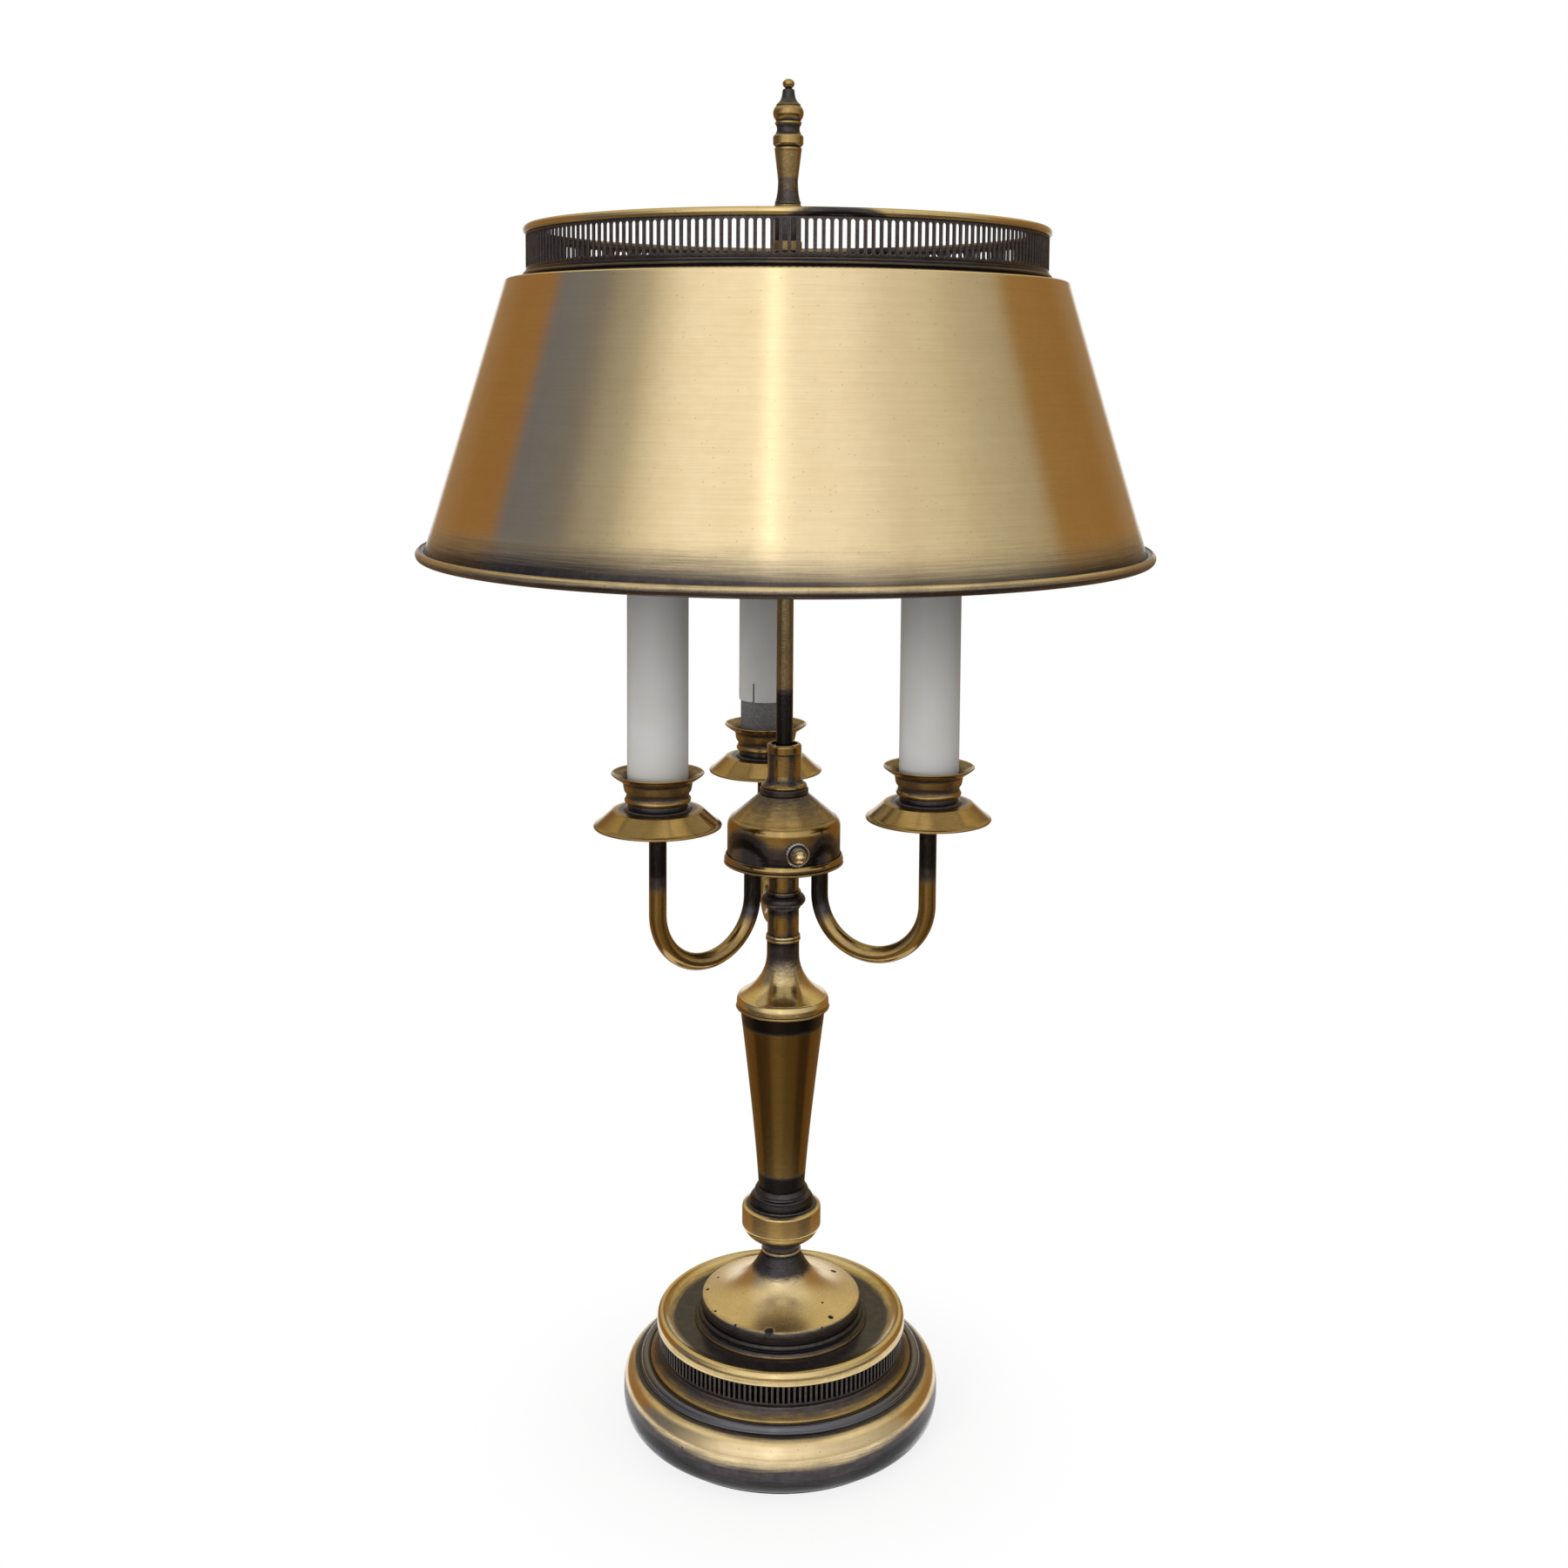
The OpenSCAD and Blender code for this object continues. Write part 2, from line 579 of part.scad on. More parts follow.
// An arm is one U of tube: down from the housing, round the bend and up to the cup
module arm_solid(r, extra) {
    translate([arm_root_r + bend_r, 0, bend_z]) rotate([-90, 0, 0])
        rotate_extrude(angle = 180, $fn = round_fn) translate([bend_r, 0]) circle(r = r, $fn = 48);
    translate([arm_root_r, 0, bend_z]) cylinder(r = r, h = arm_root_top - bend_z + extra, $fn = 48);
    translate([candle_r, 0, bend_z]) cylinder(r = r, h = arm_top - bend_z + extra, $fn = 48);
}

module arm(i) color(dark_brass) toward(i) difference() {
    arm_solid(arm_r, 0);
    arm_solid(arm_bore_r, 1);
}
module arm_left() arm(0);
module arm_right() arm(1);
module arm_back() arm(2);

module arm_nuts() color(steel) for (i = [0 : 2]) toward(i)
    translate([arm_root_r, 0, floor_z]) hex_nut(arm_d + 3.5, arm_nut_h, arm_r + fit);

module pan_collars() color(patina) for (i = [0 : 2]) on_candle(i, pan_z - pan_t - 3)
    turned([[arm_r + 1.4, 0], [arm_r + 2.8, 1.6], [arm_r + 2.8, 3]], arm_r + fit);

module drip_pan(i) color(brass) on_candle(i, pan_z) rotate_extrude($fn = round_fn) polygon(concat(
    [[arm_r + fit, 0], [pan_flat_r - 1.2, 0]],
    bend([pan_flat_r, -0.3], [pan_flat_r + 2.4, -2.6], [pan_d/2 - 1.6, -pan_h + 0.8], 6),
    [[pan_d/2 - 0.4, -pan_h + 0.3], [pan_d/2, -pan_h - 0.2], [pan_d/2 - 0.3, -pan_h - 0.9],
     [pan_d/2 - 1.4, -pan_h - 0.5]],
    bend([pan_d/2 - 2.2, -pan_h + 0.2], [pan_flat_r + 1.9, -3.2], [pan_flat_r - 0.6, -pan_t - 0.2], 6),
    [[pan_flat_r - 1.6, -pan_t], [arm_r + fit, -pan_t]]));
module pan_left() drip_pan(0);
module pan_right() drip_pan(1);
module pan_back() drip_pan(2);

module cup_necks() color(patina) for (i = [0 : 2]) on_candle(i, pan_z)
    turned([[neck_ring_r + 1.4, 0], [neck_ring_r + 0.6, 0.9], [neck_ring_r - 1, 1.3],
        [neck_ring_r - 1.2, neck_ring_h]], arm_r + fit);

// The cup has a low bead, a waist, a bowl and a flared lip; the sleeve stands on its inner ledge
cup_r = cup_d/2;
cup_in = sleeve_r + 0.6;
module cup(i) color(brass) on_candle(i, cup_z) rotate_extrude($fn = round_fn) polygon(concat(
    [[arm_r + fit, 0], [cup_in - 0.1, 0], [cup_in + 0.8, 0.8], [cup_in + 0.9, 1.8]],
    bend([cup_in + 0.5, 2.6], [cup_in - 0.6, 3.6], [cup_in + 0.1, 5.2], 4),
    bend([cup_in + 0.9, 6.2], [cup_in + 1.5, 8], [cup_in + 1.6, cup_h - 5.8], 4),
    bend([cup_in + 2.2, cup_h - 4.6], [cup_r - 3, cup_h - 3], [cup_r - 0.4, cup_h - 0.9], 5),
    [[cup_r, cup_h - 0.4], [cup_r - 0.2, cup_h], [cup_r - 0.8, cup_h]],
    bend([cup_r - 1.6, cup_h - 0.7], [cup_in + 2, cup_h - 2.4], [cup_in + 0.6, cup_h - 5], 5),
    [[cup_in, cup_h - 6.4], [cup_in, ledge_z - cup_z], [cup_in - 2.8, ledge_z - cup_z],
     [cup_in - 2.8, cup_floor_t], [arm_r + fit, cup_floor_t]]));
module cup_left() cup(0);
module cup_right() cup(1);
module cup_back() cup(2);

module cup_nuts() color(steel) for (i = [0 : 2]) on_candle(i, cup_z + cup_floor_t)
    hex_nut(arm_d + 3.5, cup_nut_h, arm_r + fit);

// A riser screws over the arm's end and carries the socket
module socket_risers() color(steel) for (i = [0 : 2])
    on_candle(i, cup_z + cup_floor_t + cup_nut_h) rotate_extrude($fn = 48) polygon([
        [arm_r + fit, 0], [coupling_r, 0], [coupling_r, coupling_h], [arm_r, coupling_h + 1],
        [arm_r, socket_z - cup_z - cup_floor_t - cup_nut_h],
        [arm_bore_r, socket_z - cup_z - cup_floor_t - cup_nut_h],
        [arm_bore_r, arm_top - cup_z - cup_floor_t - cup_nut_h + fit],
        [arm_r + fit, arm_top - cup_z - cup_floor_t - cup_nut_h + fit]]);

// The screw shell stands in the socket's bore, and the contact fills a pocket in the bore's floor
module sockets() color(black_pipe) for (i = [0 : 2]) on_candle(i, socket_z) difference() {
    cylinder(r = socket_r, h = socket_l, $fn = round_fn);
    translate([0, 0, socket_l - shell_h]) cylinder(r = shell_r + fit, h = shell_h + 1, $fn = round_fn);
    translate([0, 0, socket_l - shell_h - contact_h])
        cylinder(r = contact_r + fit, h = contact_h + 1, $fn = 48);
}

module screw_shells() color(brass) for (i = [0 : 2]) on_candle(i, shell_z)
    ring(shell_r, shell_bore/2, shell_h - 1);

module socket_contacts() color(brass) for (i = [0 : 2]) on_candle(i, shell_z - contact_h)
    cylinder(r = contact_r, h = contact_h, $fn = 48);

module socket_liners() color(fibre) for (i = [0 : 2]) on_candle(i, ledge_z)
    ring(liner_r, liner_r - liner_t, sleeve_l - 8);

module sleeve(i, lift) color(ivory) on_candle(i, ledge_z + gap + lift) difference() {
    ring(sleeve_r, sleeve_in, sleeve_l);
    rotate([0, 0, slit_dir]) translate([0, -slit_w/2, -1]) cube([sleeve_r + 1, slit_w, slit_h + 1]);
}
module sleeve_left() sleeve(0, 0);
module sleeve_right() sleeve(1, 0);
module sleeve_back() sleeve(2, back_lift);

// The lead runs inside an arm, from the housing to the foot of its socket
lead_r = 1.5;
module arm_leads() color(ivory) for (i = [0 : 2]) toward(i) {
    translate([arm_root_r + bend_r, 0, bend_z]) rotate([-90, 0, 0])
        rotate_extrude(angle = 180, $fn = round_fn) translate([bend_r, 0]) circle(r = lead_r, $fn = 24);
    translate([arm_root_r, 0, bend_z]) cylinder(r = lead_r, h = arm_root_top - bend_z + 3, $fn = 24);
    translate([candle_r, 0, bend_z]) cylinder(r = lead_r, h = socket_z - bend_z, $fn = 24);
}

module switch_body() color(black_pipe) on_switch(switch_face - switch_body_l) difference() {
    cylinder(r = switch_body_r, h = switch_body_l, $fn = 48);
    translate([0, 0, switch_body_l - 6]) cylinder(r = button_r + fit/2, h = 7, $fn = 48);
    translate([0, 0, switch_body_l - 5 - flange_room])
        cylinder(r = flange_r + fit, h = flange_room, $fn = 48);
}

module switch_bushing() color(brass) on_switch(switch_face)
    ring(switch_bush_r, button_r + fit/2, housing_r + bushing_out - switch_face);

knurls = 24;
module switch_nut() color(brass) on_switch(housing_r + fit) difference() {
    turned([[switch_nut_r, 0], [switch_nut_r, switch_nut_h - 0.8], [switch_nut_r - 0.8, switch_nut_h]],
        switch_bush_r + fit);
    for (i = [0 : knurls - 1]) rotate([0, 0, i*360/knurls]) translate([switch_nut_r + 0.15, 0, -1])
        cylinder(r = 0.45, h = switch_nut_h + 2, $fn = 16);
}

// The button's flange stops it inside the body, and its end is a low dome
module switch_button() color(brass) on_switch(flange_x - flange_t) rotate_extrude($fn = 48)
    polygon(concat(
        [[0, 0], [flange_r, 0], [flange_r, flange_t], [button_r, flange_t]],
        bend([button_r, housing_r + button_out - flange_x + flange_t - 2.2],
            [button_r, housing_r + button_out - flange_x + flange_t],
            [0, housing_r + button_out - flange_x + flange_t])));

// The cone's sheet comes down into the rim's roll and turns in at the shoulder, round the flat step
module shade_cone() color(brass) rotate_extrude($fn = 180) polygon(concat(
    [[cone_foot_r - shade_t, cone_z], [cone_foot_r, cone_z]],
    bend([shoulder_r + 0.2, step_z - shoulder_a], [shoulder_r, step_z], [step_r, step_z], 4),
    [[step_r, step_z - shade_t], [shoulder_r - shade_t, step_z - shoulder_a]]));

module shade_step() color(brass) translate([0, 0, step_z - shade_t])
    ring(step_r - fit/2, gallery_r - 2, shade_t);

module shade_rim() color(dark_brass) rotate_extrude($fn = 180) difference() {
    translate([rim_r, rim_z]) circle(r = rim_roll, $fn = 48);
    translate([rim_r, rim_z]) circle(r = rim_roll - 0.7, $fn = 48);
    translate([rim_r - rim_roll - 1, rim_z]) square([rim_roll + 1.9, rim_roll + 1]);
}

module gallery_base() color(patina) translate([0, 0, step_z]) rotate_extrude($fn = 180)
    polygon(concat(
        [[gallery_r - 1.8, 0], [gallery_r + 2.4, 0], [gallery_r + 2.4, 0.5], [gallery_r + 1, 1.5]],
        bend([gallery_r + 1.2, 1.7], [gallery_r + 3, 2.7], [gallery_r + 1.2, 3.7], 5),
        [[gallery_r + 0.6, 3.9], [gallery_r + 0.5, gallery_base_h], [gallery_r - 1.8, gallery_base_h]]));

module slot_outline() {
    translate([0, (slot_h - slot_w)/2]) circle(d = slot_w, $fn = 24);
    translate([0, -(slot_h - slot_w)/2]) circle(d = slot_w, $fn = 24);
    square([slot_w, slot_h - slot_w], center = true);
}

// The pierced band is one ring of sheet with round-ended slots all the way round
module gallery_band() color(patina) translate([0, 0, band_bottom]) difference() {
    rotate_extrude($fn = 180) translate([gallery_r - band_wall, 0])
        square([band_wall, gallery_band_h]);
    for (i = [0 : gallery_slots - 1]) rotate([0, 0, i*360/gallery_slots])
        translate([0, -gallery_r + band_wall + 1, gallery_band_h/2]) rotate([90, 0, 0])
            linear_extrude(band_wall + 2) slot_outline();
}

module gallery_bead() color(brass) rotate_extrude($fn = 180) difference() {
    translate([gallery_r - band_wall/2, bead_top_z]) circle(r = top_bead, $fn = 48);
    translate([gallery_r - band_wall - fit, bead_top_z - top_bead - 1])
        square([band_wall + 2*fit, 1.6]);
}

// The hub stands on the rod's collar, and its flange carries the arms under the shade's step
module spider_hub() color(patina) translate([0, 0, hub_z]) turned([
    [hub_d/2 + 3, 0], [hub_d/2 + 3, spider_t], [hub_d/2, spider_t],
    [hub_d/2, 21.2], [hub_d/2 + 0.6, 21.6], [hub_d/2 + 0.6, 26.4], [hub_d/2, 26.8],
    [hub_d/2, hub_h]], rod_r + fit);

// Three flat arms, midway between the candles
module spider_arms() color(patina) translate([0, 0, arms_z])
    for (i = [0 : 2]) rotate([0, 0, candle_dir[i] + 60]) translate([hub_d/2 + fit/2, -spider_w/2, 0])
        cube([gallery_r + 4.5 - hub_d/2, spider_w, spider_t]);

// Heights over the finial's foot
shank_z = 12.9;
collar_z = shank_z + finial_shank_h - 11.8;
module finial() color(brass) translate([0, 0, finial_z]) difference() {
    rotate_extrude($fn = 64) polygon(concat(
        [[0, 0], [7.2, 0], [7.2, 1]],
        bend([6.8, 1.8], [5.5, 6], [5.5, shank_z], 6),
        [[7.4, collar_z], [7.6, collar_z + 0.7], [7.3, collar_z + 1.8], [6.7, collar_z + 2.1],
         [7.8, collar_z + 2.8], [8.4, collar_z + 3.6], [8.4, collar_z + 7.6], [7.8, collar_z + 8.5]],
        bend([7.2, collar_z + 8.9], [5.4, collar_z + 12], [7.1, collar_z + 14.2], 5),
        [[7.3, collar_z + 14.6], [7.3, collar_z + 15.5], [6.7, collar_z + 16]],
        bend([6.9, collar_z + 16.4], [10, collar_z + 20.2], [7, collar_z + 24], 7),
        [[6.5, collar_z + 24.3], [6.9, collar_z + 24.9]],
        bend([6.2, collar_z + 25.6], [3.9, collar_z + 29.4], [3.3, collar_z + 32.6], 5),
        [[2.6, collar_z + 33.2]],
        [for (a = [-60 : 15 : 90]) [3.5*cos(a), collar_z + 36.2 + 2.7*sin(a)]]));
    translate([0, 0, -1]) cylinder(r = stub_r + fit, h = stub_h, $fn = 48);
}

felt_pad();
base_board();
base_weight();
base_foot();
cord_bushing();
pipe_nuts();
pipe_washer();
lamp_pipe();
base_gallery();
drum_cap();
bell_ring();
base_bell();
knop();
column();
column_band();
vase_neck();
stem_tube();
stem_bead();
stem_top();
housing_pan();
housing_dome();
crown_ring();
coupler();
centre_rod();
shade_seat();
arm_left();
arm_right();
arm_back();
arm_nuts();
pan_collars();
pan_left();
pan_right();
pan_back();
cup_necks();
cup_left();
cup_right();
cup_back();
cup_nuts();
socket_risers();
sockets();
screw_shells();
socket_contacts();
socket_liners();
sleeve_left();
sleeve_right();
sleeve_back();
arm_leads();
switch_body();
switch_bushing();
switch_nut();
switch_button();
shade_cone();
shade_step();
shade_rim();
gallery_base();
gallery_band();
gallery_bead();
spider_hub();
spider_arms();
finial();
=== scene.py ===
"""The looks of a table lamp with three candle arms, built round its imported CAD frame.

Turned pieces are profiles of (radius, height, tone) rows in millimetres, carried round an axis.
Tone runs from 0, bright brass, to 1, dark oxide, and the metals read it from the mesh.
"""

from math import atan2, cos, hypot, radians, sin

import bmesh
import bpy
import numpy as np
from mathutils import Matrix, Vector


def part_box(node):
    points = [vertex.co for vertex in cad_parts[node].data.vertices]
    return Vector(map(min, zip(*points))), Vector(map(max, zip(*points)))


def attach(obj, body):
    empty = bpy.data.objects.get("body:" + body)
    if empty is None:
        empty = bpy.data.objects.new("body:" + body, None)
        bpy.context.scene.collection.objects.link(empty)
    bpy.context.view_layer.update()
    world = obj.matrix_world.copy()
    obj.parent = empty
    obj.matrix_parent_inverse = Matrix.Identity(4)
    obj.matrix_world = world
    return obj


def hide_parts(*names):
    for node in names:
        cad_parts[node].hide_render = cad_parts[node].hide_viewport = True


bl_info = {
    "name": "Candle-arm table lamp",
    "version": (1, 0, 0),
    "blender": (4, 5, 0),
    "location": "View3D > Sidebar > Lamp",
    "description": "Dresses the frame of a three-candle table lamp in aged brass",
    "category": "Add Mesh",
}

MM = 0.001
MERGE_M = 2e-6  # points nearer than this are one point
PATCH_FADE = 6  # millimetres in which a darkened patch, oxide or painted shade, fades below its top
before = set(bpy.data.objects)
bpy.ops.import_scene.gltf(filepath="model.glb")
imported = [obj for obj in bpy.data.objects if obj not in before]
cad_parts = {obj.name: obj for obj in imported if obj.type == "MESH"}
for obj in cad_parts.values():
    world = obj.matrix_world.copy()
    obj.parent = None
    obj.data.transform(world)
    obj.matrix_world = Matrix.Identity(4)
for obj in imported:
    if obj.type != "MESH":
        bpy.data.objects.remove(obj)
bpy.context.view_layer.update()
measured = {}


def box_of(node):
    """A CAD node's lowest and highest corners in millimetres, measured once."""
    if node not in measured:
        measured[node] = [np.array(corner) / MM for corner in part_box(node)]
    return measured[node]


def foot_of(node):
    """The height of a node's lowest point."""
    return box_of(node)[0][2]


def head_of(node):
    """The height of a node's highest point."""
    return box_of(node)[1][2]


def reach_of(node):
    """A round node's greatest radius, half of its box across."""
    low, high = box_of(node)
    return (high[0] - low[0]) / 2


def middle_of(node):
    """The upright axis of a node that stands off the lamp's own: the middle of its box."""
    low, high = box_of(node)
    return (low[:2] + high[:2]) / 2


SIDES = ("left", "right", "back")
CANDLES = {side: middle_of("pan_" + side) for side in SIDES}


class LampFinish(bpy.types.PropertyGroup):
    """Colours and ageing of the lamp's finishes."""

    brass: bpy.props.FloatVectorProperty(
        name="Brass", description="Bright rubbed brass", subtype="COLOR",
        size=3, min=0, max=1, default=(0.95, 0.76, 0.46))
    brown_brass: bpy.props.FloatVectorProperty(
        name="Brown brass", description="Brass toned brown in the bath", subtype="COLOR",
        size=3, min=0, max=1, default=(0.56, 0.375, 0.145))
    oxide: bpy.props.FloatVectorProperty(
        name="Oxide", description="Dark oxide left in the hollows", subtype="COLOR",
        size=3, min=0, max=1, default=(0.040, 0.033, 0.035))
    ivory: bpy.props.FloatVectorProperty(
        name="Sleeves", description="Candle sleeves", subtype="COLOR",
        size=3, min=0, max=1, default=(0.415, 0.420, 0.425))
    brushing: bpy.props.FloatProperty(
        name="Brushing", description="Depth of the brushing on the shade",
        min=0, max=1, default=0.5)


class LampShape(bpy.types.PropertyGroup):
    """Fineness and small forms of the lamp's meshes."""

    edge: bpy.props.FloatProperty(
        name="Edge", description="Radius of a rounded edge, in millimetres",
        min=0.05, max=1, default=0.3)
    turns: bpy.props.IntProperty(
        name="Steps round", description="Steps round a large turned piece",
        min=48, max=512, default=192)
    grime: bpy.props.FloatProperty(
        name="Grime", description="Extra oxide in the hollows of an outline",
        min=0, max=1, default=0.35)
    wear: bpy.props.FloatProperty(
        name="Wear", description="Brass rubbed bright on the edges of an outline",
        min=0, max=1, default=0.2)
    thread_pitch: bpy.props.FloatProperty(
        name="Thread pitch", description="Pitch of the screw shells, in millimetres",
        min=2, max=5, default=3.63)
    knurls: bpy.props.IntProperty(
        name="Knurls", description="Grooves round the switch's nut",
        min=12, max=60, default=24)


class LampStage(bpy.types.PropertyGroup):
    """Camera and studio."""

    distance: bpy.props.FloatProperty(
        name="Distance", description="Camera to the lamp's axis",
        subtype="DISTANCE", unit="LENGTH", default=0.99475)
    height: bpy.props.FloatProperty(
        name="Height", description="Camera over the floor",
        subtype="DISTANCE", unit="LENGTH", default=0.6013)
    turn: bpy.props.FloatProperty(
        name="Turn", description="Camera's turn to the left of the front",
        subtype="ANGLE", default=radians(7.7))
    tilt: bpy.props.FloatProperty(
        name="Tilt", description="Camera's tilt below the horizon",
        subtype="ANGLE", default=radians(5.0))
    roll: bpy.props.FloatProperty(
        name="Roll", description="Camera's roll about its own axis",
        subtype="ANGLE", default=radians(0.37))
    lens: bpy.props.FloatProperty(
        name="Lens", description="Focal length in millimetres on a 36 mm sensor", default=41.06)
    shift_x: bpy.props.FloatProperty(
        name="Shift across", description="Shift of the frame in widths", default=-0.0011)
    shift_y: bpy.props.FloatProperty(
        name="Shift up", description="Shift of the frame in widths", default=-0.1617)
    floor_r: bpy.props.FloatProperty(
        name="Floor", description="Radius of the floor",
        subtype="DISTANCE", unit="LENGTH", default=0.21)


def bow(start, pull, end, steps=8):
    """A curve of rows from start to end that leaves and arrives along the lines to pull:
    each point is the mix of the three in the shares (1-t) squared, 2t(1-t) and t squared."""
    t = np.linspace(0, 1, steps + 1)[:, None]
    a, b, c = (np.array(row, float) for row in (start, pull, end))
    return (1 - t)**2 * a + 2*t*(1 - t) * b + t**2 * c


def arc(centre, radius, first, last, steps, tones=(0, 0)):
    """Rows on a circle round centre, from angle first to angle last in degrees; the tone runs
    evenly from the first of tones to the second."""
    angle = np.radians(np.linspace(first, last, steps + 1))
    tone = np.linspace(tones[0], tones[1], steps + 1)
    return np.stack([centre[0] + radius*np.cos(angle), centre[1] + radius*np.sin(angle), tone], -1)


def line(start, end, steps):
    """Evenly spaced rows from start to end."""
    t = np.linspace(0, 1, steps + 1)[:, None]
    return (1 - t)*np.array(start, float) + t*np.array(end, float)


def outline(*parts):
    """Rows and runs of rows put end to end as one closed outline."""
    return np.vstack([np.atleast_2d(np.array(part, float)) for part in parts])


def soften(rows, radius, steps=3):
    """Rounds each corner that turns more than 20 degrees: a curve pulled to the corner joins the
    points one radius before and after it, or 45 percent of the shorter side."""
    back, on = np.roll(rows, 1, 0) - rows, np.roll(rows, -1, 0) - rows
    back_l = np.maximum(np.hypot(back[:, 0], back[:, 1]), 1e-9)
    on_l = np.maximum(np.hypot(on[:, 0], on[:, 1]), 1e-9)
    cross = back[:, 1]*on[:, 0] - back[:, 0]*on[:, 1]
    turn = np.abs(np.arctan2(cross, -(back[:, :2]*on[:, :2]).sum(1)))
    sharp = turn > radians(20)
    cut = np.minimum(radius, 0.45*np.minimum(back_l, on_l))
    t = np.linspace(0, 1, steps + 1)[None, :, None]
    start = (rows + back*(cut/back_l)[:, None])[:, None]
    end = (rows + on*(cut/on_l)[:, None])[:, None]
    curve = (1 - t)**2 * start + 2*t*(1 - t) * rows[:, None] + t**2 * end
    curve = np.where(sharp[:, None, None], curve, rows[:, None])
    keep = sharp[:, None] | (np.arange(steps + 1) == 0)
    return curve[keep]


def age(rows, grime, wear, reach=1.2):
    """Adds grime to the hollows and wear to the edges of a counterclockwise outline: the middle of
    the chord between the points one reach before and after lies inside an edge, outside a hollow."""
    step = np.hypot(*np.diff(np.vstack([rows, rows[:1]])[:, :2], axis=0).T)
    along = np.concatenate([[0], np.cumsum(step)])
    whole = along[-1]
    ring = np.vstack([rows, rows[:1]])

    def at(where):
        where = np.mod(where, whole)
        return np.stack([np.interp(where, along, ring[:, k]) for k in (0, 1)], -1)

    before, after = at(along[:-1] - reach), at(along[:-1] + reach)
    run = after - before
    out = np.stack([run[:, 1], -run[:, 0]], -1)
    out /= np.maximum(np.hypot(out[:, 0], out[:, 1]), 1e-9)[:, None]
    bulge = ((rows[:, :2] - (before + after)/2)*out).sum(1) / reach
    aged = rows.copy()
    aged[:, 2] += grime*np.clip(-bulge/0.3, 0, 1) - wear*np.clip(bulge/0.4, 0, 1)
    return aged


class Shell:
    """A surface in the making: points in millimetres, four-cornered faces, and for each point its
    tone and its lay, the turn as cosine and sine with the length along the outline."""

    def __init__(self, points, faces, tone, lay):
        self.points = points
        self.faces = faces
        self.tone = tone
        self.lay = lay

    def darkened(self, turn, half, amount, low, high):
        """The shell with more tone round the turn from the front, right positive, in degrees, for oxide
        or
        painted shade: the share is one minus the squared distance over half, between the levels low and
        high."""
        x, y, z = self.points.T
        away = np.degrees(np.arctan2(x, -y)) - turn
        away = (away + 180) % 360 - 180
        share = np.clip(1 - (away/half)**2, 0, 1)*np.clip(z - low, 0, 1)
        share *= np.clip((high - z)/PATCH_FADE, 0, 1)
        return Shell(self.points, self.faces, self.tone + amount*share, self.lay)

    def patched(self, patches, low=-1e3, high=1e3):
        """The shell darkened by each (turn, half, amount) of patches, between two levels."""
        shell = self
        for turn, half, amount in patches:
            shell = shell.darkened(turn, half, amount, low, high)
        return shell

    def turned(self, matrix):
        """The same shell under a 4 by 4 matrix."""
        matrix = np.array(matrix, float)
        return Shell(self.points @ matrix[:3, :3].T + matrix[:3, 3], self.faces, self.tone, self.lay)

    def moved(self, x, y, z=0):
        """The same shell shifted."""
        return Shell(self.points + np.array([x, y, z]), self.faces, self.tone, self.lay)


def joined(shells):
    """Several shells as one, the faces counted on from those before."""
    starts = np.cumsum([0] + [len(s.points) for s in shells[:-1]])
    return Shell(np.vstack([s.points for s in shells]),
                 np.vstack([s.faces + start for s, start in zip(shells, starts)]),
                 np.concatenate([s.tone for s in shells]),
                 np.vstack([s.lay for s in shells]))


def net(rows, columns, wrap_rows=True, wrap_columns=True):
    """Faces of a grid of points numbered row by row, each face turning along its row first."""
    i = np.arange(rows if wrap_rows else rows - 1)[:, None]
    j = np.arange(columns if wrap_columns else columns - 1)[None, :]
    i1, j1 = (i + 1) % rows, (j + 1) % columns
    corners = np.broadcast_arrays(i*columns + j, i*columns + j1, i1*columns + j1, i1*columns + j)
    return np.stack(corners, -1).reshape(-1, 4)


def lathe(rows, turns=None, level=0.0, edge=None):
    """Carries a closed outline of (radius, height, tone) rows round Z: point (i, j) lies at row i's
    radius and height, at the angle j of turns steps. The outline is made to run counterclockwise,
    so that faces point out, and strips that lie on the axis are dropped."""
    shape = bpy.context.scene.lamp_shape
    turns = turns or shape.turns
    rows = np.array(rows, float)
    area = (rows[:, 0]*np.roll(rows[:, 1], -1) - np.roll(rows[:, 0], -1)*rows[:, 1]).sum()
    if area < 0:
        rows = rows[::-1]
    rows = age(soften(rows, shape.edge if edge is None else edge), shape.grime, shape.wear)
    angle = np.arange(turns)*2*np.pi/turns
    cosine, sine = np.cos(angle)[None, :], np.sin(angle)[None, :]
    radius, height = np.maximum(rows[:, :1], 0), rows[:, 1:2] + level
    points = np.stack(np.broadcast_arrays(radius*cosine, radius*sine, height + 0*cosine), -1)
    step = np.hypot(*np.diff(rows[:, :2], axis=0, prepend=rows[:1, :2]).T)
    along = np.cumsum(step)[:, None]
    lay = np.stack(np.broadcast_arrays(cosine + 0*along, sine + 0*along, along + 0*cosine), -1)
    tone = np.repeat(rows[:, 2], turns)
    faces = net(len(rows), turns)
    on_axis = (rows[:, 0] < 1e-6) & (np.roll(rows[:, 0], -1) < 1e-6)
    faces = faces[~np.repeat(on_axis, turns)]
    return Shell(points.reshape(-1, 3), faces, tone, lay.reshape(-1, 3))


def mesh_of(name, points, faces):
    """A new mesh, its points given in millimetres."""
    mesh = bpy.data.meshes.new(name)
    mesh.from_pydata(points*MM, [], faces)
    return mesh


def add_object(name, data):
    """A new object in the scene's own collection."""
    added = bpy.data.objects.new(name, data)
    bpy.context.scene.collection.objects.link(added)
    return added


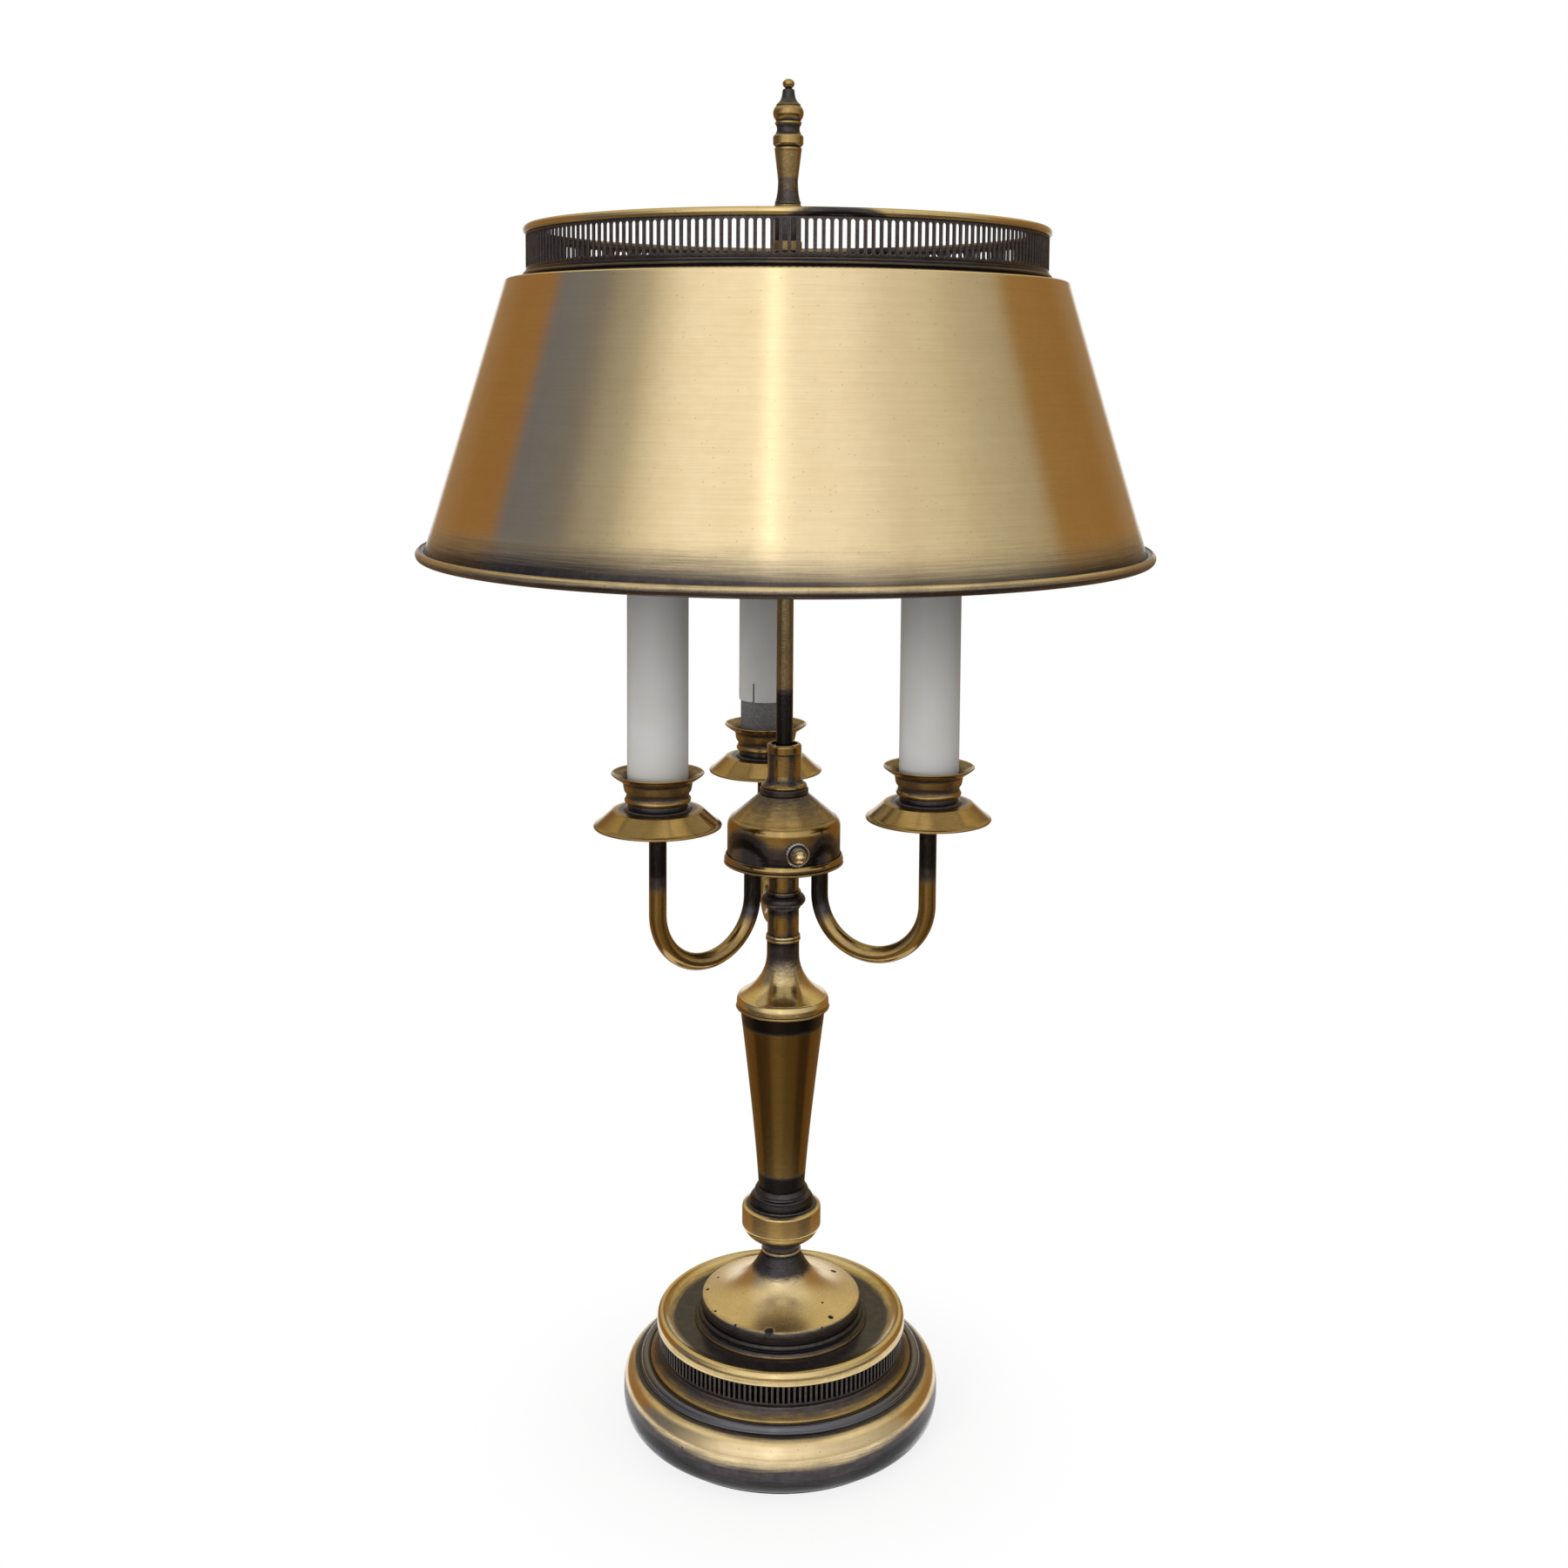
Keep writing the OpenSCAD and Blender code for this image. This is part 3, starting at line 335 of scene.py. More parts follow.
def put(name, shell, finish, body, slot, *nodes, cutters=()):
    """Makes a piece: the shell in metres with its tone and lay, seams and poles merged, cut by the
    cutters, shaded smooth with normals weighted by area, dressed, riding, and replacing nodes."""
    mesh = mesh_of(name, shell.points, shell.faces)
    tone = mesh.attributes.new("tone", "FLOAT", "POINT")
    tone.data.foreach_set("value", shell.tone.astype(np.float32))
    lay = mesh.attributes.new("lay", "FLOAT_VECTOR", "POINT")
    lay.data.foreach_set("vector", shell.lay.astype(np.float32).ravel())
    work = bmesh.new()
    work.from_mesh(mesh)
    bmesh.ops.remove_doubles(work, verts=work.verts, dist=MERGE_M)
    work.to_mesh(mesh)
    work.free()
    piece = add_object(name, mesh)
    for cutter in cutters:
        cut_by(piece, cutter)
    mesh = piece.data
    mesh.polygons.foreach_set("use_smooth", np.ones(len(mesh.polygons), bool))
    weigh_normals(mesh)
    mesh.materials.clear()
    mesh.materials.append(finish)
    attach(piece, body)
    if nodes:
        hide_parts(*nodes)
    return piece


def cut_by(piece, cutter):
    """Takes a closed shell out of a piece with an exact boolean, applied to its mesh."""
    tool = add_object("cutter", mesh_of("cutter", cutter.points, cutter.faces))
    step = piece.modifiers.new("cut", "BOOLEAN")
    step.operation = "DIFFERENCE"
    step.solver = "EXACT"
    step.object = tool
    bpy.context.view_layer.update()
    ready = piece.evaluated_get(bpy.context.evaluated_depsgraph_get())
    done = bpy.data.meshes.new_from_object(ready)
    piece.modifiers.clear()
    piece.data = done
    bpy.data.objects.remove(tool)


def weigh_normals(mesh):
    """Gives each point the sum of its faces' normals times their areas, so that a flat face beside
    a rounded edge stays flat."""
    count = len(mesh.polygons)
    normal, area = np.zeros(count*3), np.zeros(count)
    mesh.polygons.foreach_get("normal", normal)
    mesh.polygons.foreach_get("area", area)
    total = np.zeros(count, int)
    mesh.polygons.foreach_get("loop_total", total)
    corner = np.zeros(len(mesh.loops), int)
    mesh.loops.foreach_get("vertex_index", corner)
    weighted = np.repeat(normal.reshape(-1, 3)*area[:, None], total, axis=0)
    summed = np.stack([np.bincount(corner, weighted[:, k], len(mesh.vertices)) for k in range(3)], -1)
    length = np.linalg.norm(summed, axis=1, keepdims=True)
    mesh.normals_split_custom_set_from_vertices(summed/np.maximum(length, 1e-20))


class Reading:
    """A socket in shader arithmetic: each operation adds its Math node."""

    def __init__(self, tree, socket):
        self.tree = tree
        self.socket = socket

    def math(self, operation, *others):
        return self.tree.add("ShaderNodeMath", {"operation": operation}, {
            k: v for k, v in enumerate((self, *others))})

    def output(self, name):
        """Another output of the same node."""
        return Reading(self.tree, self.socket.node.outputs[name])

    def __add__(self, other):
        return self.math("ADD", other)

    __radd__ = __add__

    def __mul__(self, other):
        return self.math("MULTIPLY", other)

    __rmul__ = __mul__

    def __sub__(self, other):
        return self.math("SUBTRACT", other)

    def __rsub__(self, other):
        return self.tree.add("ShaderNodeMath", {"operation": "SUBTRACT"}, {0: other, 1: self})

    def __lt__(self, other):
        return self.math("LESS_THAN", other)

    def rise(self, low, high, to_low=0.0, to_high=1.0):
        """A smooth step from to_low at low to to_high at high."""
        return self.tree.add("ShaderNodeMapRange", {"interpolation_type": "SMOOTHSTEP"}, {
            "Value": self, "From Min": low, "From Max": high, "To Min": to_low, "To Max": to_high})

    def kept(self, low=0.0, high=1.0):
        """The value held between two bounds."""
        return self.tree.add("ShaderNodeClamp", {}, {"Value": self, "Min": low, "Max": high})


class Tree:
    """The node tree of one material or world."""

    def __init__(self, owner):
        owner.use_nodes = True
        self.nodes = owner.node_tree.nodes
        self.links = owner.node_tree.links
        self.nodes.clear()

    def add(self, kind, settings, inputs, out=0):
        """A node of a kind: its settings first, with a ramp's stops as (place, colour), then the
        values and links of its sockets. Returns the reading of one output."""
        node = self.nodes.new(kind)
        for name, value in settings.items():
            if name == "stops":
                self.set_stops(node.color_ramp, value)
            else:
                setattr(node, name, value)
        for name, value in inputs.items():
            socket = node.inputs[name]
            if isinstance(value, Reading):
                self.links.new(value.socket, socket)
            elif socket.type == "RGBA" and len(value) == 3:
                socket.default_value = (*value, 1)
            else:
                socket.default_value = value
        return Reading(self, node.outputs[out]) if len(node.outputs) else node

    @staticmethod
    def set_stops(ramp, stops):
        while len(ramp.elements) < len(stops):
            ramp.elements.new(1)
        for element, (place, colour) in zip(ramp.elements, sorted(stops)):
            element.position = place
            element.color = (*colour, 1) if len(colour) == 3 else colour

    def place(self):
        """Object coordinates, in metres."""
        return self.add("ShaderNodeTexCoord", {}, {}, "Object")

    def attribute(self, name, out):
        return self.add("ShaderNodeAttribute", {"attribute_name": name}, {}, out)

    def scaled(self, vector, factors):
        return self.add("ShaderNodeVectorMath", {"operation": "MULTIPLY"}, {0: vector, 1: factors})

    def noise(self, vector, scale, detail=2.0, roughness=0.5, distortion=0.0):
        """Perlin noise from about 0.25 to 0.75."""
        return self.add("ShaderNodeTexNoise", {}, {
            "Vector": vector, "Scale": scale, "Detail": detail, "Roughness": roughness,
            "Distortion": distortion}, "Fac")

    def mix(self, share, first, second):
        """Two colours mixed: share 0 gives the first."""
        node = self.nodes.new("ShaderNodeMix")
        node.data_type = "RGBA"
        for index, value in ((0, share), (6, first), (7, second)):
            if isinstance(value, Reading):
                self.links.new(value.socket, node.inputs[index])
            elif index == 0:
                node.inputs[index].default_value = value
            else:
                node.inputs[index].default_value = (*value[:3], 1)
        return Reading(self, node.outputs[2])

    def specks(self, place, scale, size, share):
        """Round specks: where a Voronoi cell's own random number is under share, 1 within size of
        its middle and 0 outside."""
        cell = self.add("ShaderNodeTexVoronoi", {"feature": "F1"}, {"Vector": place, "Scale": scale})
        chance = self.add("ShaderNodeSeparateColor", {}, {"Color": cell.output("Color")})
        return cell.output("Distance").rise(size*0.6, size, 1.0, 0.0) * (chance < share)

    def surface(self, sockets, height=None, depth=0.0001):
        """The Principled shader with its sockets, bumped by a height of 0 to 1 times depth, and
        the output node."""
        if height is not None:
            sockets = {**sockets, "Normal": self.add("ShaderNodeBump", {}, {
                "Height": height, "Distance": depth, "Strength": 1.0})}
        shader = self.add("ShaderNodeBsdfPrincipled", {}, sockets)
        self.add("ShaderNodeOutputMaterial", {}, {"Surface": shader})


def new_finish(name):
    material = bpy.data.materials.new(name)
    return material, Tree(material)


def tinted(colour, *factors):
    """A colour times one factor, or times a factor for each of its parts, at most 1."""
    return tuple(min(1, part*factor) for part, factor in zip(colour, factors*3))


# Tones between which oxide covers the brass, turns black, and turns glossy and blue
COVERED = (0.16, 0.84)
BLACKENED = (1.0, 1.25)
GLOSSY = (1.45, 1.7)
BLACK = (0.007, 0.006, 0.007)
BLUE_BLACK = (0.05, 0.05, 0.075)


def metal_finish(name, bright, second, dark, roughness=0.22, brushing=0.2, mottle=0.2, pits=0.04,
                 drift=0.5, streaks=1.0, anisotropy=0.0, gloss=0.15, spots=()):
    """Aged brass. The mesh's tone, with streaks along the turning and a little cloud and grain,
    sets how much dark oxide covers the metal; past 1 it turns black and then glossy. Bare metal drifts
    between two colours, pits, specks and single spots of (x, y, z, radius) in millimetres lie on
    it, and the oxide has a thin gloss."""
    material, tree = new_finish(name)
    place = tree.place()
    lay = tree.attribute("lay", "Vector")
    cloud = tree.noise(place, 40, 3, 0.6)
    blotch = tree.noise(place, 190, 3, 0.6)
    grain = tree.noise(place, 1500, 2, 0.6)
    fine = tree.noise(tree.scaled(lay, (6, 6, 1.9)), 1, 3, 0.65)
    broad = tree.noise(tree.scaled(lay, (2.5, 2.5, 0.8)), 1, 3, 0.6)
    scatter = (cloud - 0.5)*0.8 + (blotch - 0.5)*0.7 + (grain - 0.5)*0.9
    streak = (fine - 0.5)*0.45 + (broad - 0.5)*0.30
    tone = tree.attribute("tone", "Fac") + scatter*mottle + streak*streaks
    cover, black = tone.rise(*COVERED), tone.rise(*BLACKENED)
    speck = tree.specks(place, 420, 0.22, 0.16) * min(1, drift)
    pit = tree.specks(place, 95, 0.10, pits)
    for x, y, z, radius in spots:
        away = tree.add("ShaderNodeVectorMath", {"operation": "DISTANCE"}, {
            0: place, 1: (x*MM, y*MM, z*MM)}, "Value") + (grain - 0.5)*0.0012
        pit = pit.math("MAXIMUM", away.rise(radius*0.7*MM, radius*MM, 1.0, 0.0))
    bare = tree.mix((cloud.rise(0.3, 0.7)*0.6 + blotch.rise(0.35, 0.65)*0.4)*drift, bright, second)
    bare = tree.mix((broad.rise(0.3, 0.7)*0.3 + fine.rise(0.3, 0.7)*0.25)*drift, bare,
                    tinted(second, 0.7))
    dull = tree.mix(blotch.rise(0.35, 0.7), dark, tinted(dark, 1.7))
    dull = tree.mix(black, dull, BLACK)
    dull = tree.mix(tone.rise(*GLOSSY), dull, BLUE_BLACK)
    colour = tree.mix(cover, bare, dull)
    colour = tree.mix((speck*0.6 + pit).kept(), colour, tinted(dark, 0.4))
    rough = (cover*0.14 + (fine - 0.5)*0.10 + (blotch - 0.5)*0.12*drift + roughness + pit*0.4)
    height = fine*(0.15 + brushing) + grain*0.2*drift + cover*0.2 - pit*3.0
    tree.surface({
        "Base Color": colour, "Metallic": 1 - cover*0.2 - pit*0.5, "Roughness": rough.kept(0.06, 0.9),
        "Anisotropic": anisotropy, "Anisotropic Rotation": 0.25,
        "Coat Weight": (cover*gloss + tone.rise(*GLOSSY)).kept(), "Coat Roughness": 0.1,
        "Coat IOR": 1.9}, height, 0.00005)
    return material


finishes = {}


def make_finishes():
    """Every finish of the lamp by its name, made once."""
    if finishes:
        return finishes
    colours = bpy.context.scene.lamp_finish
    brass, brown, oxide = (tuple(c) for c in (colours.brass, colours.brown_brass, colours.oxide))
    deeper = tinted(brass, 0.84, 0.78, 0.66)
    golden = tinted(brass, 0.92, 0.88, 0.72)
    umber = tinted(brown, 0.64, 0.66, 0.66)
    finishes.update({
        "brushed": metal_finish(
            "Brushed_brass", brass, deeper, oxide, roughness=0.17, brushing=colours.brushing,
            mottle=0.08, pits=0.0, drift=0.3, streaks=0.6, anisotropy=0.88, gloss=0.1),
        "rubbed": metal_finish("Rubbed_brass", brass, deeper, oxide),
        "golden": metal_finish("Golden_brass", golden, tinted(golden, 0.8), oxide, roughness=0.19),
        "spotted": metal_finish(
            "Spotted_brass", brass, deeper, oxide, roughness=0.28, spots=bell_spots()),
        "brown": metal_finish("Brown_brass", brown, umber, oxide, roughness=0.17),
        "umber": metal_finish(
            "Umber_brass", umber, tinted(umber, 0.7), oxide, roughness=0.17, mottle=0.12),
        "oxide": metal_finish("Oxidised_brass", brown, umber, oxide, mottle=0.3, pits=0.02),
        "rubbed_steel": metal_finish(
            "Nickelled_ring", (0.62, 0.60, 0.56), (0.40, 0.38, 0.35), oxide, roughness=0.2,
            pits=0.02),
        "paint": paint_finish(),
        "steel": steel_finish(),
        "iron": iron_finish(),
        "ivory": sleeve_finish(tuple(colours.ivory)),
        "fibre": fibre_finish(),
        "phenolic": moulded_finish("Black_phenolic", (0.018, 0.016, 0.015), 0.34),
        "rubber": moulded_finish("Black_bushing", (0.022, 0.021, 0.020), 0.5),
        "lead": moulded_finish("Wire_cover", (0.75, 0.74, 0.70), 0.45),
        "felt": felt_finish(),
        "board": board_finish(),
    })
    return finishes


def paint_finish():
    """Cream paint inside the shade: even, a little yellower in wide clouds, with a fine peel."""
    material, tree = new_finish("Cream_paint")
    place = tree.place()
    cloud = tree.noise(place, 9, 2, 0.5)
    peel = tree.noise(place, 700, 2, 0.5)
    colour = tree.mix(cloud.rise(0.3, 0.7), (0.87, 0.85, 0.77), (0.85, 0.82, 0.72))
    tree.surface({"Base Color": colour, "Roughness": (cloud - 0.5)*0.1 + 0.42}, peel, 0.00004)
    return material


def steel_finish():
    """Zinc-plated steel: pale grey with soft blotches of the plating and fine turning marks."""
    material, tree = new_finish("Plated_steel")
    place = tree.place()
    blotch = tree.noise(place, 220, 3, 0.6)
    grain = tree.noise(place, 2400, 2, 0.5)
    colour = tree.mix(blotch.rise(0.3, 0.7), (0.58, 0.58, 0.56), (0.36, 0.36, 0.36))
    rough = (blotch - 0.5)*0.2 + (grain - 0.5)*0.1 + 0.3
    tree.surface({"Base Color": colour, "Metallic": 1.0, "Roughness": rough}, grain, 0.00003)
    return material


def iron_finish():
    """Cast iron: dark grey, pitted like sand and rough."""
    material, tree = new_finish("Cast_iron")
    place = tree.place()
    sand = tree.noise(place, 900, 4, 0.7)
    rust = tree.noise(place, 60, 3, 0.6).rise(0.55, 0.7)
    colour = tree.mix(rust, (0.075, 0.072, 0.070), (0.14, 0.065, 0.035))
    tree.surface({"Base Color": colour, "Metallic": 0.4, "Roughness": sand*0.3 + 0.55}, sand, 0.0004)
    return material


def sleeve_finish(ivory):
    """Extruded sleeve plastic: off-white, a little yellower in clouds, with faint draw lines along the
    length and a soft gloss, and painted shade that greys it towards the top under the lampshade."""
    material, tree = new_finish("Sleeve_plastic")
    place = tree.place()
    cloud = tree.noise(place, 45, 2, 0.5)
    draw = tree.noise(tree.scaled(place, (1, 1, 0.03)), 700, 2, 0.5)
    dust = tree.specks(place, 260, 0.07, 0.12)
    colour = tree.mix(cloud.rise(0.35, 0.65), ivory, tinted(ivory, 0.97, 0.95, 0.90))
    level = tree.add("ShaderNodeSeparateXYZ", {}, {"Vector": place}, "Z")
    # Painted shade: the colour greys with height, where the lampshade would shade the sleeve
    colour = tree.mix(level.rise(0.385, 0.51), colour, tinted(ivory, 0.38))
    colour = tree.mix(dust*0.25, colour, (0.35, 0.32, 0.28))
    rough = (draw - 0.5)*0.12 + (cloud - 0.5)*0.08 + 0.36
    tree.surface({"Base Color": colour, "Roughness": rough, "IOR": 1.49}, draw*0.6 + cloud*0.4, 0.00005)
    return material


def fibre_finish():
    """Grey fibre liner: wound paper with slanting laps and short pale hairs."""
    material, tree = new_finish("Grey_fibre")
    place = tree.place()
    hair = tree.noise(tree.scaled(place, (1, 1, 4)), 800, 3, 0.7)
    lap = tree.noise(tree.scaled(place, (1, 1, 6)), 60, 1, 0.5)
    colour = tree.mix(hair.rise(0.4, 0.7), (0.075, 0.077, 0.080), (0.17, 0.17, 0.17))
    rough = 0.72 + (lap - 0.5)*0.2
    tree.surface({"Base Color": colour, "Roughness": rough}, hair*0.7 + lap*0.3, 0.0001)
    return material


def moulded_finish(name, colour, roughness):
    """Moulded plastic: one colour with a faint cloud, fine grain and small flow marks."""
    material, tree = new_finish(name)
    place = tree.place()
    grain = tree.noise(place, 1800, 2, 0.6)
    flow = tree.noise(place, 90, 3, 0.6)
    paler = tuple(min(1, 1.5*c + 0.01) for c in colour)
    shade = tree.mix(flow.rise(0.4, 0.75), colour, paler)
    tree.surface({"Base Color": shade, "Roughness": (flow - 0.5)*0.2 + roughness}, grain, 0.00004)
    return material


def felt_finish():
    """Black felt: short fibres in tangled clumps, matt, with a few pale hairs."""
    material, tree = new_finish("Black_felt")
    place = tree.place()
    clump = tree.noise(place, 700, 4, 0.75, 1.5)
    hair = tree.noise(tree.scaled(place, (1, 3, 1)), 2600, 2, 0.6, 2.0)
    colour = tree.mix(clump.rise(0.35, 0.7), (0.008, 0.008, 0.008), (0.030, 0.029, 0.028))
    colour = tree.mix(hair.rise(0.62, 0.7)*0.5, colour, (0.10, 0.095, 0.09))
    tree.surface({"Base Color": colour, "Roughness": 0.95, "Sheen Weight": 0.3},
                 clump*0.6 + hair*0.4, 0.0003)
    return material


def board_finish():
    """Hardboard: brown pressed fibre."""
    material, tree = new_finish("Pressed_board")
    place = tree.place()
    fibre = tree.noise(tree.scaled(place, (1, 1, 5)), 900, 4, 0.7)
    colour = tree.mix(fibre.rise(0.35, 0.7), (0.12, 0.075, 0.045), (0.22, 0.15, 0.095))
    tree.surface({"Base Color": colour, "Roughness": 0.8}, fibre, 0.0002)
    return material


# Sizes that the turned pieces share, in millimetres
BORE = 5.3
DRUM_R = reach_of("drum_cap")
LIP = 1.8
WALL_R = DRUM_R - LIP
SEAT_Z = foot_of("base_gallery")
SKIRT_H = 6.2
CAP_Z = foot_of("drum_cap") + LIP
BELL_R = reach_of("base_bell")
BAND_R = reach_of("column_band")
STEM_R = reach_of("stem_tube")
HOUSING_R = reach_of("housing_dome")
DOME_Z = foot_of("housing_dome") - 1.3
CROWN_R = reach_of("crown_ring") + 0.2
ROD_R = reach_of("centre_rod")
STEP_Z = head_of("shade_cone")
SHOULDER_R = reach_of("shade_step") + 2.05
GALLERY_R = reach_of("gallery_band")
BEAD_A = 2.2
ARM_BORE = 4.85
SHADE_TURNS = 320

# Patches that add tone: turn from the front and half the width in degrees, and the added tone; on the
# shade also the height that they reach over its foot. On the shade and the bead they are oxide.
SHADE_PATCHES = ((-46, 46, 0.2, 22), (66, 40, 0.12, 20))
# Painted reflections: dark upright streaks up the stem and the coupler
PAINTED_REFLECTION_STREAKS = ((-60, 20, 0.5), (17, 15, 0.4), (80, 18, 0.5), (150, 24, 0.4), (-135, 26, 0.4))
# Painted shade on the foot's roll at its left and right sides, up to a height, for the darker room they
# would mirror
FOOT_PAINTED_SHADE = ((82, 66, 0.6), (-98, 66, 0.6))
FOOT_PAINTED_SHADE_TOP = 29
# Painted reflections: dark patches on the housing's dome where it would mirror dark parts of the room
DOME_PAINTED_REFLECTIONS = ((-52, 30, 0.8), (38, 18, 0.6), (100, 30, 0.6), (-140, 34, 0.6))
BEAD_PATCHES = ((2, 10, 1.0), (-120, 12, 0.8), (150, 7, 0.7))

# Pits on the bell: turn from +X in degrees, distance from the axis and radius
BELL_PITS = ((-106, 44, 3.2), (-54, 40.8, 1.8), (26, 37.3, 2.0), (171, 42.5, 1.3), (152, 39.3, 1.0),
             (-132, 45, 1.0), (-156, 43.6, 1.0), (-47, 30.7, 0.8), (-67, 45.4, 0.8))

# Pierced bands: the wall, the bays round, a slot's width and height, the power of its ends, the
# foot, crest and height of the ridge round it, and the tones of the bay's six loops
DRUM_SLOTS = {
    "wall": 0.8, "bays": 144, "slot": (1.6, 10), "square": 7, "ridge": (0.55, 0.30, 0.22),
    "tones": (0.95, 0.9, 0.66, 0.95, 1.0, 0.95)}
GALLERY_SLOTS = {
    "wall": 0.8, "bays": 220, "slot": (2.3, 16.5), "square": 2, "ridge": (0.72, 0.36, 0.3),
    "tones": (0.92, 0.95, 0.68, 0.95, 1.0, 0.95)}


def closed(rows, bore):
    """An outer outline closed by a straight bore, both ends dark."""
    rows = np.array(rows, float)
    return outline([[bore, rows[0][1], 0.9]], rows, [[bore, rows[-1][1], 0.9]])


def half_oval(centre, wide, high, power, first, last, steps):
    """Points on the right half of a superellipse, from angle first to angle last in degrees: out
    by the cosine and up by the sine, both to the power of 2 over power."""
    angle = np.radians(np.linspace(first, last, steps + 1))
    x = np.abs(np.cos(angle))**(2/power)
    y = np.sign(angle)*np.abs(np.sin(angle))**(2/power)
    return np.stack([centre[0] + wide*x, centre[1] + high*y, 0*x], -1)


def foot_rows():
    """The foot: the roll is half of a superellipse, a small round bead lies on its shoulder, and
    the flat seat for the drum runs in to the bore. Everything is hollow from below, and the roll's
    lower half is dark, partly oxide and partly painted shade for the dark floor it would mirror."""
    roll_w, roll_a, power, land, wall, bead_a, plate_t = 16.0, 16.25, 2.9, 0.3, 1.6, 2.8, 2.1
    low = foot_of("base_foot")
    roll = (reach_of("base_foot") - roll_w, low + roll_a - land)
    bead = (DRUM_R + 6.3, roll[1] + roll_a + 0.3)
    start = -np.degrees(np.arcsin((1 - land/roll_a)**(power/2)))
    face = half_oval(roll, roll_w, roll_a, power, start, 74, 64)
    # Tone by height: oxide and painted shade darken the lower half, black near the floor
    face[:, 2] = np.interp(face[:, 1], [low, 12, 17, 22, 27, 31.6, 33.1, 33.9],
                           [1.22, 1.15, 0.95, 0.45, 0.08, 0.10, 0.50, 1.1])
    face[0, 1] = low
    bead_end = 180 - np.degrees(np.arcsin((SEAT_Z - bead[1])/bead_a))
    hollow = half_oval(roll, roll_w - wall, roll_a - wall, power, 90, -90, 40)
    hollow[:, 2] = 0.6
    return outline(
        [[roll[0], low, 0.95]],
        face,
        arc(bead, bead_a, -6, bead_end, 18, (1.9, 1.9)),
        [[WALL_R + 5.7, SEAT_Z, 1.1], [BORE, SEAT_Z, 0.9], [BORE, SEAT_Z - plate_t, 0.6],
         [roll[0], SEAT_Z - plate_t, 0.6]],
        hollow)


def skirt_rows():
    """The drum's flared skirt: a square edge, then a cove that climbs into the wall."""
    return outline(
        [[WALL_R - 0.8, 0, 0.9], [WALL_R + 5.6, 0, 0.85], [WALL_R + 5.6, 0.8, 0.42]],
        bow([WALL_R + 5.2, 1.4, 0.50], [WALL_R + 1, SKIRT_H - 2.4, 0.62], [WALL_R, SKIRT_H, 0.92]),
        [[WALL_R - 0.8, SKIRT_H, 0.9]])


def cap_rows():
    """The drum's cap: a flat plate, a lip over the wall, and a rolled rim that sweeps down inside
    to the plate."""
    plate, rim = 1.2, 4.3
    return outline(
        [[BORE, 0, 0.9], [WALL_R + 0.3, 0, 0.9], [WALL_R + 0.3, -LIP, 0.8]],
        bow([DRUM_R - 0.6, -LIP, 0.6], [DRUM_R, -LIP, 0.55], [DRUM_R, -1.1, 0.45], 4),
        bow([DRUM_R, 0.4, 0.40], [DRUM_R, plate + rim, 0.16],
            [DRUM_R - 2.8, plate + rim, 0.05], 12),
        bow([DRUM_R - 3.4, plate + rim - 0.1, 0.05], [DRUM_R - 6.5, plate, 0.16],
            [DRUM_R - 12, plate, 0.90], 14),
        line([DRUM_R - 13, plate, 0.95], [BELL_R + 2, plate, 0.95], 6),
        [[BORE, plate, 0.9]])


def bell_ring_rows():
    """Two low steps under the bell, the lower one with a polished edge."""
    return closed([
        [BELL_R + 3.6, 0, 0.9], [BELL_R + 3.6, 0.9, 0.6], [BELL_R + 2.6, 2.6, 1.1],
        [BELL_R + 0.9, 2.9, 1.1], [BELL_R + 0.9, 4.6, 1.0], [BELL_R + 0.2, 5.8, 1.05],
        [BELL_R - 1.3, 6, 0.95], [BELL_R - 1.3, 7.5, 0.95]], BELL_R - 14)


def bell_face(radius):
    """The height of the bell's face over its foot."""
    return 4.0 + 27.5*np.exp((10.75 - radius)/12.6)


def bell_spots():
    """The bell's pits as (x, y, z, radius) on its face."""
    level = foot_of("base_bell")
    return [(away*cos(radians(turn)), away*sin(radians(turn)), level + bell_face(away), radius)
            for turn, away, radius in BELL_PITS]


def bell_rows():
    """The bell: its face falls from the neck as an exponential curve to a rounded edge, and the
    inside follows it at the wall's thickness."""
    height, edge, wall, neck = 33.5, 4.7, 3.0, 10.75
    last = BELL_R - 1.2
    radius = neck + (last - neck)*np.linspace(1, 0, 37)**1.4
    z = bell_face(radius)
    neck_dark = np.clip((z - 18.5)/6.5, 0, 1)
    rim_dark = np.clip((radius - 42)/3.0, 0, 1)
    tone = 0.06 + 1.0*neck_dark**0.8 + 0.5*rim_dark**1.6
    inside = neck + (last - neck)*np.linspace(0.1, 1, 12)**1.4
    return outline(
        [[BELL_R - wall, 0, 0.9], [BELL_R - 0.5, 0, 1.1]],
        bow([BELL_R, 0.6, 1.15], [BELL_R, edge + 0.4, 1.1], [last, bell_face(last), 0.6], 8),
        np.stack([radius, z, tone], -1),
        [[neck + 0.6, height - 1.6, 0.9], [neck + 0.6, height - 0.4, 0.5], [neck, height, 0.8],
         [BORE, height, 0.9], [BORE, height - 8, 0.8]],
        np.stack([inside - wall, bell_face(inside) - wall, 0*inside + 0.8], -1))


